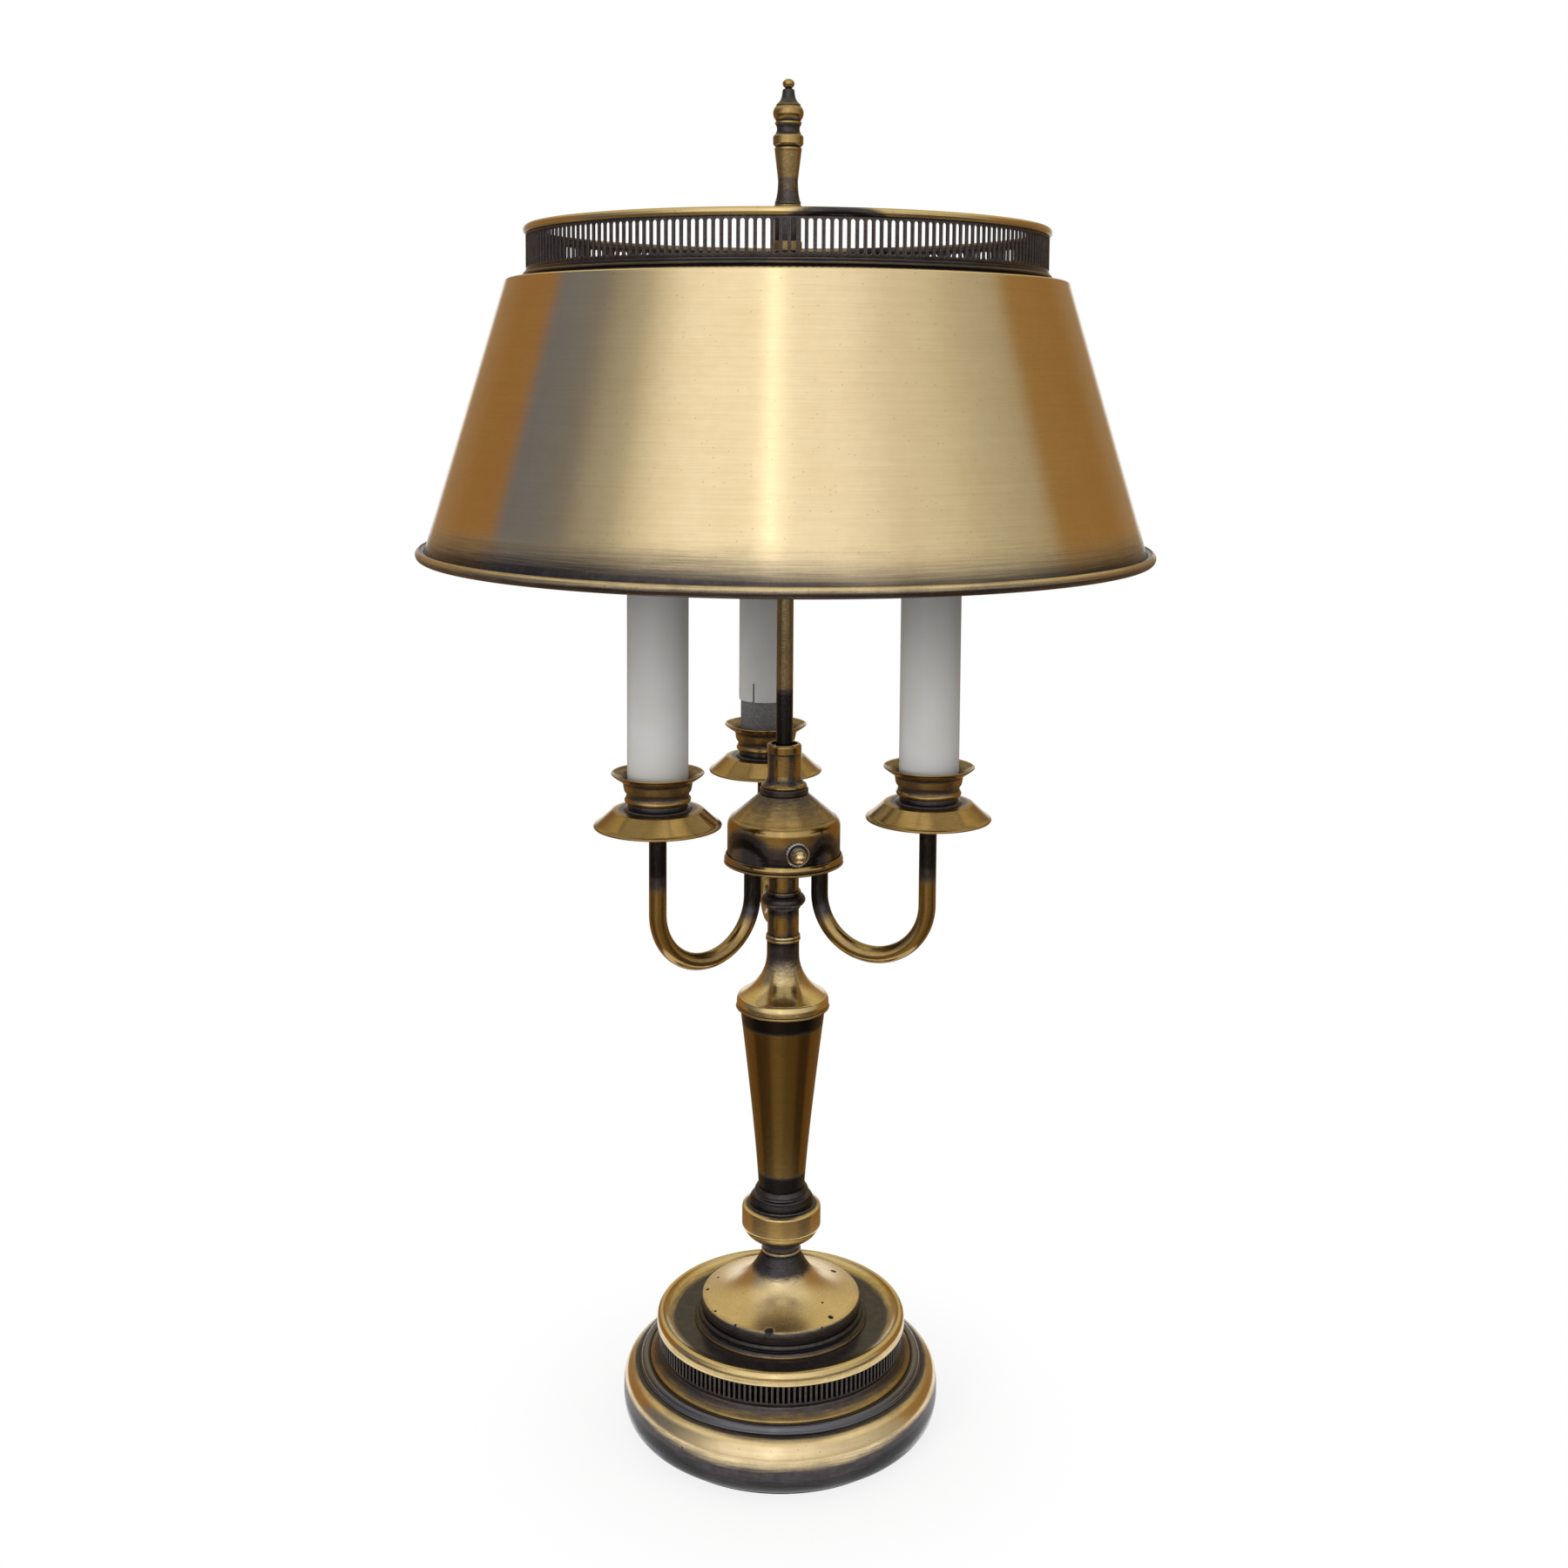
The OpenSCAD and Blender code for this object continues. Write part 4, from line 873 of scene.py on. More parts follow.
def knop_rows():
    """The knop: a short neck, a bowl that swells as the sine to the power of 1.25, an upright band
    with a bright edge, then the dark shoulder in two coves under the column."""
    height, foot, neck_h, bowl_h = 28.2, 11.2, 5.0, 9.8
    wide = reach_of("knop")
    shaft = 13.2
    turn = np.radians(np.arange(0, 91, 5))
    bowl = np.stack([foot + (wide - foot)*np.sin(turn)**1.25,
                     neck_h + bowl_h*(1 - np.cos(turn)**1.25),
                     1.1 - 0.82*np.sin(turn)**3], -1)
    return closed(outline(
        [[foot - 0.8, 0, 0.9], [foot, 1.2, 0.85]],
        bowl,
        [[wide, height - 4.2, 0.40], [wide - 0.3, height - 2.7, 0.25], [wide - 1.2, height - 2.4, 0.2],
         [wide - 3, height - 1.8, 1.0]],
        bow([wide - 4.1, height - 1.6, 1.3], [wide - 3.9, height + 2.2, 1.25],
            [shaft + 3.6, height + 3.4, 1.2]),
        [[shaft + 3.4, height + 4.2, 1.05], [shaft + 1.7, height + 4.8, 1.3],
         [shaft + 1.7, height + 5.6, 1.3], [shaft + 2.2, height + 6, 1.1],
         [shaft + 2, height + 7, 1.0], [shaft + 0.9, height + 8.8, 1.3]]), BORE)


def column_rows():
    """The column swells upward as the 1.2 power of the height, dark at both ends."""
    height, foot_r, wall, dark = 105.5, 13.2, 3.0, 9.0
    head_r = reach_of("column")
    t = np.concatenate([np.linspace(0, 0.12, 10), np.linspace(0.15, 0.85, 14),
                        np.linspace(0.88, 1, 10)])
    z = height*t
    edge = np.maximum(np.clip((dark + 1 - z)/2.0, 0, 1), np.clip((z - height + dark + 1)/2.0, 0, 1))
    radius = foot_r + (head_r - foot_r)*t**1.2
    tone = 0.24 + 1.08*edge
    return outline(
        np.stack([radius, z, tone], -1),
        [[BORE, height, 0.9], [BORE, height - 6, 0.8]],
        np.stack([radius[-2::-1] - wall, z[-2::-1], 0*z[:-1] + 0.8], -1))


def band_rows():
    """Two thin beads with a groove between them."""
    return closed(outline(
        [[BAND_R - 1.4, 0, 0.95]],
        arc((BAND_R - 0.75, 0.75), 0.75, -80, 80, 8, (0.9, 0.1)),
        [[BAND_R - 1.1, 1.55, 0.98]],
        arc((BAND_R - 0.95, 2.05), 0.52, -70, 85, 6, (0.85, 0.3)),
        [[BAND_R - 1.5, 2.6, 0.98]]), BORE)


def vase_rows():
    """The flared neck: a rounded foot, a long cove up to the stem, and a ringed mouth."""
    height = 40.0
    return closed(outline(
        [[BAND_R - 0.8, 0, 0.9]],
        bow([BAND_R - 0.5, 0.8, 0.35], [BAND_R - 0.7, height*0.12, 0.1],
            [BAND_R - 2.4, height*0.121, 0.0], 10),
        bow([BAND_R - 2.8, height*0.13, 0.1], [STEM_R + 0.3, height*0.35, 0.15],
            [STEM_R + 0.3, height*0.72, 0.86], 20),
        [[STEM_R + 0.3, height*0.76, 0.88],
         [STEM_R + 0.3, height - 3.6, 0.9], [STEM_R + 1, height - 3.2, 0.3],
         [STEM_R + 1, height - 2.2, 0.25], [STEM_R + 0.5, height - 1.8, 0.95],
         [STEM_R + 0.9, height - 1.2, 0.3], [STEM_R + 0.6, height, 0.8]]), BORE)


def stem_rows(node, radius):
    """A plain length of stem as high as its node, dark under its neighbours."""
    height = head_of(node) - foot_of(node)
    return closed([[radius, 0, 0.9], [radius, 1.2, 0.5], [radius, height*0.3, 0.3],
                   [radius, height*0.65, 0.35], [radius, height - 1.4, 0.9],
                   [radius, height, 1.1]], BORE)


def stem_bead_rows():
    """A round bead on a low foot."""
    wide = 12.6
    return closed(outline(
        [[STEM_R + 0.8, 0, 1.1], [STEM_R + 1.4, 1.6, 0.8]],
        bow([wide - 1.2, 2.2, 1.1], [wide + 1.4, 4.8, 1.05], [wide - 1.6, 7.6, 1.1], 12),
        [[STEM_R + 1.2, 8.2, 1.2], [STEM_R + 0.9, 10, 0.6]]), BORE)


def housing_pan_rows():
    """The housing's pan: a flat floor and a wall rolled into two beads."""
    floor = DOME_Z - foot_of("housing_pan")
    return outline(
        [[BORE, 0, 0.8]],
        bow([HOUSING_R - 9, 0, 0.7], [HOUSING_R + 4, 3, 0.35], [HOUSING_R + 1.7, 4.1, 0.45], 12),
        bow([HOUSING_R + 1.1, 4.6, 0.9], [HOUSING_R + 2.2, 5.6, 0.3], [HOUSING_R + 1.4, 7.4, 0.25], 8),
        [[HOUSING_R + 0.9, 8.4, 0.6], [HOUSING_R + 0.3, 8.4, 0.95],
         [HOUSING_R + 0.3, floor + 1, 0.8], [HOUSING_R - 1, floor, 0.8], [BORE, floor, 0.8]])


def housing_dome_rows():
    """The housing's wall and the cone over it, one sheet with a rounded shoulder."""
    dome_h, sheet = 15.2, 1.0
    top = head_of("housing_dome") - DOME_Z
    wall_h = top - dome_h
    return outline(
        line([HOUSING_R, 1.3, 1.24], [HOUSING_R, 9.5, 1.14], 4),
        line([HOUSING_R, 13, 0.84], [HOUSING_R, wall_h - 4.5, 0.24], 6),
        bow([HOUSING_R, wall_h - 3, 0.16], [HOUSING_R, wall_h + 1.4, 0.05],
            [HOUSING_R - 2.8, wall_h + 2.4, 0.35], 10),
        line([HOUSING_R - 4, wall_h + 3.4, 0.34], [CROWN_R + 2, top - 1.7, 0.66], 8),
        [[CROWN_R, top, 0.85], [BORE, top, 0.8], [BORE, top - sheet, 0.8],
         [CROWN_R - 0.4, top - sheet, 0.8]],
        bow([HOUSING_R - 3.4, wall_h + 2.4 - sheet, 0.8], [HOUSING_R - sheet, wall_h, 0.8],
            [HOUSING_R - sheet, wall_h - 4, 0.8], 6),
        [[HOUSING_R - sheet, 1.3, 0.8]])


def crown_rows():
    """The dark ring on the housing's crown."""
    height = 3.8
    return closed([[CROWN_R - 0.6, 0, 1.2], [CROWN_R - 0.2, 0.6, 1.15],
                   [CROWN_R - 0.2, height - 0.6, 1.1], [CROWN_R - 1, height, 1.2]], BORE)


def coupler_rows():
    """The coupler: a bright flange, a cove up to the tube, and a lipped mouth round the rod."""
    height, tube, well = 24.9, 9.35, 2.0
    return outline(
        [[BORE - 0.2, 0, 0.9], [CROWN_R - 1.4, 0, 0.8], [CROWN_R - 0.9, 1, 0.0]],
        bow([CROWN_R - 1.6, 2.2, 0.35], [tube + 0.4, 3.4, 0.75], [tube, 6.4, 0.35], 8),
        line([tube, 8, 0.30], [tube, height - 6.4, 0.34], 5),
        [[tube, height - 5.6, 0.7], [tube + 0.4, height - 5, 0.2],
         [tube + 0.4, height - 1.2, 0.15], [tube - 0.3, height, 0.1], [tube - 1.9, height, 0.5],
         [tube - 1.9, height - well, 0.95], [ROD_R + 0.1, height - well, 0.95],
         [ROD_R + 0.1, height - 12, 0.9], [3.8, height - 12, 0.9],
         [3.8, height - 13, 0.9], [BORE - 0.2, height - 13, 0.9]])


def rod_rows():
    """The rod: a plain tube that is closed at the top and ends in a stub."""
    top = head_of("centre_rod") - foot_of("centre_rod")
    stub, neck = 14.0, 3.1
    return outline(
        [[ROD_R - 1.2, 0, 0.8], [ROD_R, 0, 0.8]],
        line([ROD_R, 2, 1.25], [ROD_R, 40, 1.2], 4),
        line([ROD_R, 44, 0.54], [ROD_R, top - stub - 2, 0.46], 20),
        [[ROD_R, top - stub, 0.6], [neck, top - stub, 0.8], [neck, top, 0.4], [0, top, 0.4],
         [0, top - stub - 4, 0.8], [ROD_R - 1.2, top - stub - 4, 0.8]])


def seat_rows():
    """The collar on the rod that the shade's hub stands on."""
    return closed([[ROD_R + 1.6, 0, 0.6], [7.0, 1.4, 0.3], [7.0, 5, 0.5]], ROD_R + 0.1)


def pan_rows():
    """A drip pan: a flat floor and a skirt that turns down in a curve to a rolled lip."""
    flat, wide, depth, sheet = 24.5, reach_of("pan_left"), 8.6, 1.0
    return outline(
        [[ARM_BORE, 0, 0.95], [17, 0, 1.0], [19.6, 0, 1.0], [21.8, 0, 0.35],
         [flat - 1.2, 0, 0.2]],
        bow([flat, -0.3, 0.16], [flat + 2.4, -2.6, 0.12], [wide - 1.6, -depth + 0.8, 0.14], 14),
        [[wide - 0.4, -depth + 0.3, 0.2], [wide, -depth - 0.2, 0.1],
         [wide - 0.3, -depth - 0.9, 0.45], [wide - 1.4, -depth - 0.5, 0.8]],
        bow([wide - 2.2, -depth + 0.2, 0.75], [flat + 1.9, -3.2, 0.7],
            [flat - 0.6, -sheet - 0.2, 0.7], 10),
        [[flat - 1.6, -sheet, 0.7], [ARM_BORE, -sheet, 0.8]])


def neck_ring_rows():
    """The dark ring between pan and cup."""
    return closed([[18.6, 0, 0.97], [17.8, 0.9, 0.95], [16.2, 1.3, 0.99], [16, 3.8, 0.99]],
                  ARM_BORE)


def pan_collar_rows():
    """The collar under a drip pan."""
    return closed([[6.15, 0, 0.9], [7.55, 1.6, 0.7], [7.55, 3, 0.9]], ARM_BORE)


def cup_rows():
    """A candle cup: a low bead, a waist, a bowl and a flared lip, with a ledge for the sleeve."""
    height, wide, ledge, floor = 16.0, reach_of("cup_left"), 6.9, 1.4
    inner = reach_of("sleeve_left") + 0.6
    return outline(
        [[ARM_BORE, 0, 0.9], [inner - 0.1, 0, 0.8], [inner + 0.8, 0.8, 0.02],
         [inner + 0.9, 1.8, 0.15]],
        bow([inner + 0.5, 2.6, 0.3], [inner - 0.6, 3.6, 0.5], [inner + 0.1, 5.2, 0.4], 6),
        bow([inner + 0.9, 6.2, 0.75], [inner + 1.5, 8, 0.35], [inner + 1.6, height - 5.8, 0.35], 6),
        bow([inner + 2.2, height - 4.6, 0.7], [wide - 3, height - 3, 0.35],
            [wide - 0.4, height - 0.9, 0.15], 8),
        [[wide, height - 0.4, 0.05], [wide - 0.2, height, 0.05], [wide - 0.8, height, 0.2]],
        bow([wide - 1.6, height - 0.7, 0.4], [inner + 2, height - 2.4, 0.6],
            [inner + 0.6, height - 5, 0.85], 6),
        [[inner, height - 6.4, 0.95], [inner, ledge, 0.95], [inner - 2.8, ledge, 0.95],
         [inner - 2.8, floor, 0.95], [ARM_BORE, floor, 0.95]])


def shade_rows():
    """The shade: a cone of sheet from the rim's roll up to the shoulder, then the flat step in to
    the gallery, oxide fading up from the foot of the cone; the inside follows at the sheet."""
    sheet, fade = 0.8, 14.0
    low = foot_of("shade_cone")
    foot_r, bend_r = reach_of("shade_cone"), SHOULDER_R
    step_in = GALLERY_R - 2
    t = np.concatenate([np.linspace(0, 0.2, 22), np.linspace(0.22, 1, 34)])
    radius = foot_r + (bend_r + 0.2 - foot_r)*t
    z = low + (STEP_Z - 2 - low)*t
    up = z - low
    tone = 0.02 + 0.90*np.exp(-up/fade)
    return outline(
        np.stack([radius, z, tone], -1),
        bow([bend_r + 0.15, STEP_Z - 1.6, 0.02], [bend_r, STEP_Z, 0.0], [bend_r - 2, STEP_Z, 0.1], 6),
        line([bend_r - 3, STEP_Z, 0.2], [step_in, STEP_Z, 0.85], 6),
        [[step_in, STEP_Z - sheet, 0.6], [bend_r - sheet - 1, STEP_Z - sheet, 0.4],
         [bend_r - sheet, STEP_Z - 2, 0.3]],
        line([bend_r - sheet - 0.1, STEP_Z - 4, 0.3], [foot_r - sheet, low + 2, 0.45], 20),
        [[foot_r - sheet, low, 0.5]])


def rim_rows():
    """The rim: a roll of sheet, open inside at the top where the cone comes down into it."""
    roll, wall = 3.0, 0.7
    centre = (reach_of("shade_rim") - roll, foot_of("shade_rim") + roll)
    lip = centre[0] + 0.9
    start = np.degrees(np.arccos(0.9/roll))
    inner = roll - wall
    inner_start = np.degrees(np.arccos(0.9/inner))
    return outline(
        arc(centre, roll, start, 42, 6, (0.85, 0.45)),
        arc(centre, roll, 34, -14, 10, (0.50, 0.88)),
        arc(centre, roll, -30, -180, 15, (0.90, 1.0)),
        arc(centre, inner, -180, inner_start - 360, 14, (0.98, 0.98)),
        [[lip, centre[1] + inner*np.sin(np.radians(inner_start)), 0.95]])


def gallery_base_rows():
    """The gallery's foot: a flange, a bead and a step."""
    return closed(outline(
        [[GALLERY_R + 2.4, 0, 1.1], [GALLERY_R + 2.4, 0.5, 0.8], [GALLERY_R + 1, 1.5, 1.1]],
        bow([GALLERY_R + 1.2, 1.7, 1.0], [GALLERY_R + 3, 2.7, 0.75], [GALLERY_R + 1.2, 3.7, 1.0], 8),
        [[GALLERY_R + 0.6, 3.9, 1.05], [GALLERY_R + 0.5, 5.1, 0.9]]), GALLERY_R - 1.8)


def gallery_bead_rows():
    """The roll on the gallery's upper edge, open below where it grips the band."""
    bead, grip = BEAD_A, 0.5
    start = np.degrees(np.arccos(grip/bead))
    return outline(
        arc((0, 0), bead, -start, 40, 10, (0.9, 0.1)),
        arc((0, 0), bead, 50, 100, 6, (0.04, 0.15)),
        arc((0, 0), bead, 110, 180 + start, 10, (0.7, 1.0)),
        [[-grip, -bead + 0.6, 0.95], [grip, -bead + 0.6, 0.95]]
    ) + np.array([GALLERY_R - 0.4, 0, 0])


def hub_rows():
    """The spider's hub: a flange, a long barrel and a raised ring."""
    hub, high, flange = 7.4, 46.5, 1.6
    return closed([
        [hub + 3, 0, 0.7], [hub + 3, flange, 0.6], [hub, flange, 0.95], [hub, 10, 0.7],
        [hub, 21.2, 0.8], [hub + 0.6, 21.6, 0.5], [hub + 0.6, 26.4, 0.5], [hub, 26.8, 0.9],
        [hub, high - 2, 0.75], [hub, high, 0.6]], ROD_R + 0.1)


def finial_rows():
    """The finial: a flared foot, a tapering shank, a collar, a waist, a bulge, a slender neck and
    a small ball."""
    collar = 28.9
    return outline(
        [[0, 0, 0.9], [7.2, 0, 0.9], [7.2, 1, 0.9]],
        bow([6.8, 1.8, 0.75], [5.5, 6, 0.75], [5.5, 12.9, 0.62], 10),
        line([5.8, 15.5, 0.45], [7.3, collar - 1, 0.38], 6),
        [[7.4, collar, 0.4], [7.6, collar + 0.7, 0.2], [7.3, collar + 1.8, 0.6],
         [6.7, collar + 2.1, 0.98], [7.8, collar + 2.8, 0.5], [8.4, collar + 3.6, 0.15],
         [8.4, collar + 5.6, 0.22], [8.4, collar + 7.6, 0.15], [7.8, collar + 8.5, 0.6]],
        bow([7.2, collar + 8.9, 0.95], [5.4, collar + 12, 0.8], [7.1, collar + 14.2, 0.75], 8),
        [[7.3, collar + 14.6, 0.3], [7.3, collar + 15.5, 0.4], [6.7, collar + 16, 0.98]],
        bow([6.9, collar + 16.4, 0.5], [10, collar + 20.2, 0.02], [7, collar + 24, 0.4], 12),
        [[6.5, collar + 24.3, 0.98], [6.9, collar + 24.9, 0.35]],
        bow([6.2, collar + 25.4, 0.85], [3.7, collar + 27.6, 0.95], [3.5, collar + 30.8, 0.9], 10),
        [[3.2, collar + 33, 0.95], [2.7, collar + 33.4, 1.05]],
        [[3.3*np.cos(turn), collar + 36.2 + 2.7*np.sin(turn), 0.35]
         for turn in np.radians(np.arange(-60, 91, 10))])


def pierced(radius, low, high, wall, bays, slot, square, ridge, tones):
    """A pierced band as one bay repeated round Z. A bay is six loops of fourteen points: its
    border, the foot and crest of the ridge round the slot, the slot's edge, the same edge inside
    and the inner border. The slot's ends are half superellipses of the power square, 2 for round,
    and x along the wall becomes the angle x over radius."""
    pitch = 2*np.pi*radius/bays
    half_w, half_h = slot[0]/2, slot[1]/2
    straight = half_h - half_w
    foot, crest, proud = ridge
    mid = (low + high)/2
    turn = np.radians(np.arange(7)*30)
    end_x = -np.sign(np.cos(turn))*np.abs(np.cos(turn))**(2/square)
    end_y = -np.abs(np.sin(turn))**(2/square)
    end_x[3] = 0

    def slot_loop(grow):
        x, y = (half_w + grow)*end_x, -straight + (half_w + grow)*end_y
        return np.stack([np.concatenate([x, -x]), np.concatenate([y, -y])], -1)

    edge_x = np.array([-1, -1, -1, 0, 1, 1, 1])*pitch/2
    reach = (high - low)/2
    edge_y = np.array([-straight, -(straight + reach)/2, -reach, -reach, -reach,
                       -(straight + reach)/2, -straight])
    border = np.stack([np.concatenate([edge_x, -edge_x]), np.concatenate([edge_y, -edge_y])], -1)
    loops = np.stack([border, slot_loop(foot), slot_loop(crest), slot_loop(0), slot_loop(0), border])
    out = np.array([0, 0, proud, 0, -wall, -wall])[None, :, None]
    angle = (np.arange(bays)*2*np.pi/bays)[:, None, None] + loops[None, :, :, 0]/radius
    z = np.broadcast_to(loops[None, :, :, 1] + mid, angle.shape)
    r = np.broadcast_to(radius + out, angle.shape)
    points = np.stack([r*np.cos(angle), r*np.sin(angle), z], -1)
    lay = np.stack([np.cos(angle), np.sin(angle), z], -1)
    tone = np.broadcast_to(np.array(tones)[None, :, None], angle.shape)
    bay = net(6, 14, wrap_rows=False)
    m = np.array([2, 3, 9, 10])
    ends = np.stack([70 + m, 70 + m + 1, m + 1, m], -1)
    bay = np.vstack([bay, ends])
    faces = (bay[None] + (np.arange(bays)*84)[:, None, None]).reshape(-1, 4)
    return Shell(points.reshape(-1, 3), faces, tone.reshape(-1), lay.reshape(-1, 3))


def pipe(path, tone, radius, wall, sides=40):
    """A tube of even wall along a path in the XZ plane: each ring lies in the plane of the path's
    normal and Y, outside going on and inside coming back, closed at both ends."""
    run = np.gradient(path, axis=0)
    run /= np.hypot(run[:, 0], run[:, 1])[:, None]
    normal = np.stack([run[:, 1], 0*run[:, 0], -run[:, 0]], -1)
    centre = np.stack([path[:, 0], 0*path[:, 0], path[:, 1]], -1)
    turn = (np.arange(sides)*2*np.pi/sides)[None, :, None]
    across = np.cos(turn)*normal[:, None] + np.sin(turn)*np.array([0, 1, 0])
    outer, inner = centre[:, None] + radius*across, centre[:, None] + (radius - wall)*across
    points = np.concatenate([outer, inner[::-1]])
    along = np.concatenate([[0], np.cumsum(np.hypot(*np.diff(path, axis=0).T))])
    along = np.concatenate([along, along[::-1]])[:, None]
    around = radius*turn[:, :, 0]
    lay = np.stack(np.broadcast_arrays(along*0.04, 0*around, around + 0*along), -1)
    tones = np.repeat(np.concatenate([tone, 0*tone + 0.8]), sides)
    return Shell(points.reshape(-1, 3), net(len(points), sides), tones, lay.reshape(-1, 3))


def arm_shell(side):
    """An arm: down from the housing, round half a circle and up into the cup. The legs are nearly
    black and the bend is rubbed to brass."""
    radius, wall = 4.75, 1.1
    x, y = CANDLES[side]
    out, root = hypot(x, y), HOUSING_R - 10
    bend = (out - root)/2
    bend_z = foot_of("arm_" + side) + bend + radius
    top, root_top = head_of("arm_" + side), DOME_Z + 4.8
    turn = np.radians(np.linspace(180, 360, 61))
    curve = np.stack([root + bend + bend*np.cos(turn), bend_z + bend*np.sin(turn)], -1)
    down = np.stack([np.full(10, root), np.linspace(root_top, bend_z + 1, 10)], -1)
    up = np.stack([np.full(30, out), np.linspace(bend_z + 1, top, 30)], -1)
    path = np.vstack([down, curve, up])
    outer_dark, inner_dark, fade = 327.0, 299.0, 12.0
    dark_from = np.where(path[:, 0] > root + bend, outer_dark, inner_dark)
    tone = 0.30 + 0.90*np.clip((path[:, 1] - dark_from)/fade + 0.5, 0, 1)
    return pipe(path, tone, radius, wall).turned(Matrix.Rotation(atan2(y, x), 4, "Z"))


def block(low, high):
    """A box as a closed shell."""
    corner = np.array([[i, j, k] for k in (0, 1) for j in (0, 1) for i in (0, 1)], float)
    points = np.array(low) + corner*(np.array(high) - np.array(low))
    faces = np.array([[0, 2, 3, 1], [4, 5, 7, 6], [0, 1, 5, 4],
                      [2, 6, 7, 3], [0, 4, 6, 2], [1, 3, 7, 5]])
    return Shell(points, faces, np.zeros(8), np.zeros((8, 3)))


def cord_drill():
    """The hole for the cord's bushing as a stepped plug that runs to the back of the foot."""
    low, high = box_of("cord_bushing")
    hole_r, flat_r, flange_t = 5.15, 7.3, 2.15
    plug = lathe([[0, -20, 0], [hole_r, -20, 0], [hole_r, 0, 0], [flat_r, 0, 0],
                  [flat_r, 9, 0], [0, 9, 0]], 48, edge=0)
    return plug.turned(Matrix.Translation((0, high[1] - flange_t, (low[2] + high[2])/2))
                       @ Matrix.Rotation(radians(-90), 4, "X"))


def slit_block(side):
    """The slit at the foot of a sleeve as a thin block."""
    slit_turn, slit_w, slit_h = radians(146), 1.0, 11.5
    level = foot_of("sleeve_" + side)
    x, y = CANDLES[side]
    slit = block((0, -slit_w/2, level - 1), (20, slit_w/2, level + slit_h))
    return slit.turned(Matrix.Rotation(atan2(y, x) + slit_turn, 4, "Z")).moved(x, y)


def liner_rows():
    """A fibre liner's wall."""
    inner, outer = 14.8, 15.3
    height = head_of("socket_liners") - foot_of("socket_liners")
    return [[inner, 0, 0], [outer, 0, 0], [outer, height, 0], [inner, height, 0]]


def sleeve_rows(height):
    """A candle sleeve's wall, its upper edge rounded."""
    wide, wall = reach_of("sleeve_left"), 0.8
    return outline([[wide - wall, 0, 0], [wide, 0, 0]],
                   line([wide, 1, 0], [wide, height - 1, 0], 8),
                   [[wide, height, 0], [wide - wall, height, 0]])


def screw_shell():
    """A screw shell: its inside swells as a cosine of the height over the pitch less the turn, so
    that the crests climb like a thread, inside a plain wall."""
    pitch = bpy.context.scene.lamp_shape.thread_pitch
    height, bore, depth, outer, turns = 24.0, 13.2, 0.45, 13.95, 72
    z = np.linspace(0, height, 80)[:, None]
    angle = (np.arange(turns)*2*np.pi/turns)[None, :]
    swell = 0.5 - 0.5*np.cos(2*np.pi*z/pitch - angle)
    fade = np.clip(np.minimum(z, height - z)/1.5, 0, 1)
    inner = bore + depth*swell*fade
    points_in = np.stack([inner*np.cos(angle), inner*np.sin(angle), z + 0*angle], -1)
    rim_z = np.array([[0.0], [height]])
    points_out = np.stack([outer*np.cos(angle) + 0*rim_z, outer*np.sin(angle) + 0*rim_z,
                           rim_z + 0*angle], -1)
    points = np.concatenate([points_in[::-1], points_out])
    lay = np.stack([np.cos(angle) + 0*points[..., 0], np.sin(angle) + 0*points[..., 0],
                    points[..., 2]], -1)
    tone = np.full(points.shape[:2], 0.1)
    return Shell(points.reshape(-1, 3), net(len(points), turns), tone.reshape(-1), lay.reshape(-1, 3))


def socket_rows():
    """A socket: a closed barrel with a bore for the screw shell."""
    height, radius, bore, depth = 64.0, 14.5, 13.97, 25.0
    return outline([[0, 0, 0], [radius, 0, 0], [radius, height, 0], [bore, height, 0],
                    [bore, height - depth, 0], [0, height - depth, 0]])


def paint_inside(mesh, paint):
    """Gives the paint to a turned mesh's faces that look at its axis or straight down."""
    mesh.materials.append(paint)
    count = len(mesh.polygons)
    centre, facing = np.zeros(count*3), np.zeros(count*3)
    mesh.polygons.foreach_get("center", centre)
    mesh.polygons.foreach_get("normal", facing)
    centre, facing = centre.reshape(-1, 3), facing.reshape(-1, 3)
    inward = (centre[:, :2]*facing[:, :2]).sum(1) < -1e-4
    inside = inward | (facing[:, 2] < -0.9)
    mesh.polygons.foreach_set("material_index", inside.astype(np.int32))


def switch_place(start):
    """The matrix that carries a piece turned on Z to the switch's axis, its foot at start from the
    lamp's axis."""
    x, y = middle_of("switch_nut")
    z = (foot_of("switch_nut") + head_of("switch_nut"))/2
    return (Matrix.Rotation(atan2(y, x), 4, "Z") @ Matrix.Translation((start, 0, z))
            @ Matrix.Rotation(radians(90), 4, "Y"))


def knurled(shell, count, depth, beyond):
    """Grooves round a turned shell: past the radius beyond, a point moves in by depth times the
    fourth power of the cosine of half its turn times count."""
    x, y = shell.points[:, 0], shell.points[:, 1]
    radius, angle = np.hypot(x, y), np.arctan2(y, x)
    share = np.clip((radius - beyond)/0.4, 0, 1)*np.cos(angle*count/2)**4
    scale = 1 - depth*share/np.maximum(radius, 1e-6)
    points = shell.points*np.stack([scale, scale, np.ones_like(scale)], -1)
    tone = np.clip(shell.tone + 0.5*share, 0, 1)
    return Shell(points, shell.faces, tone, shell.lay)


def switch_nut_shell():
    """The knurled nut: a chamfered barrel with a raised ring on its face."""
    rows = [[4.65, 0, 0.8], [7, 0, 0.8], [7, 1.0, 0.9], [7, 2.1, 0.8], [6.5, 2.5, 0.5],
            [6.1, 2.9, 0.0], [5.7, 2.9, 0.0], [5.3, 2.4, 1.1], [4.65, 2.4, 1.1]]
    shell = lathe(rows, turns=288, edge=0.15)
    return knurled(shell, bpy.context.scene.lamp_shape.knurls, 0.45, 6.5)


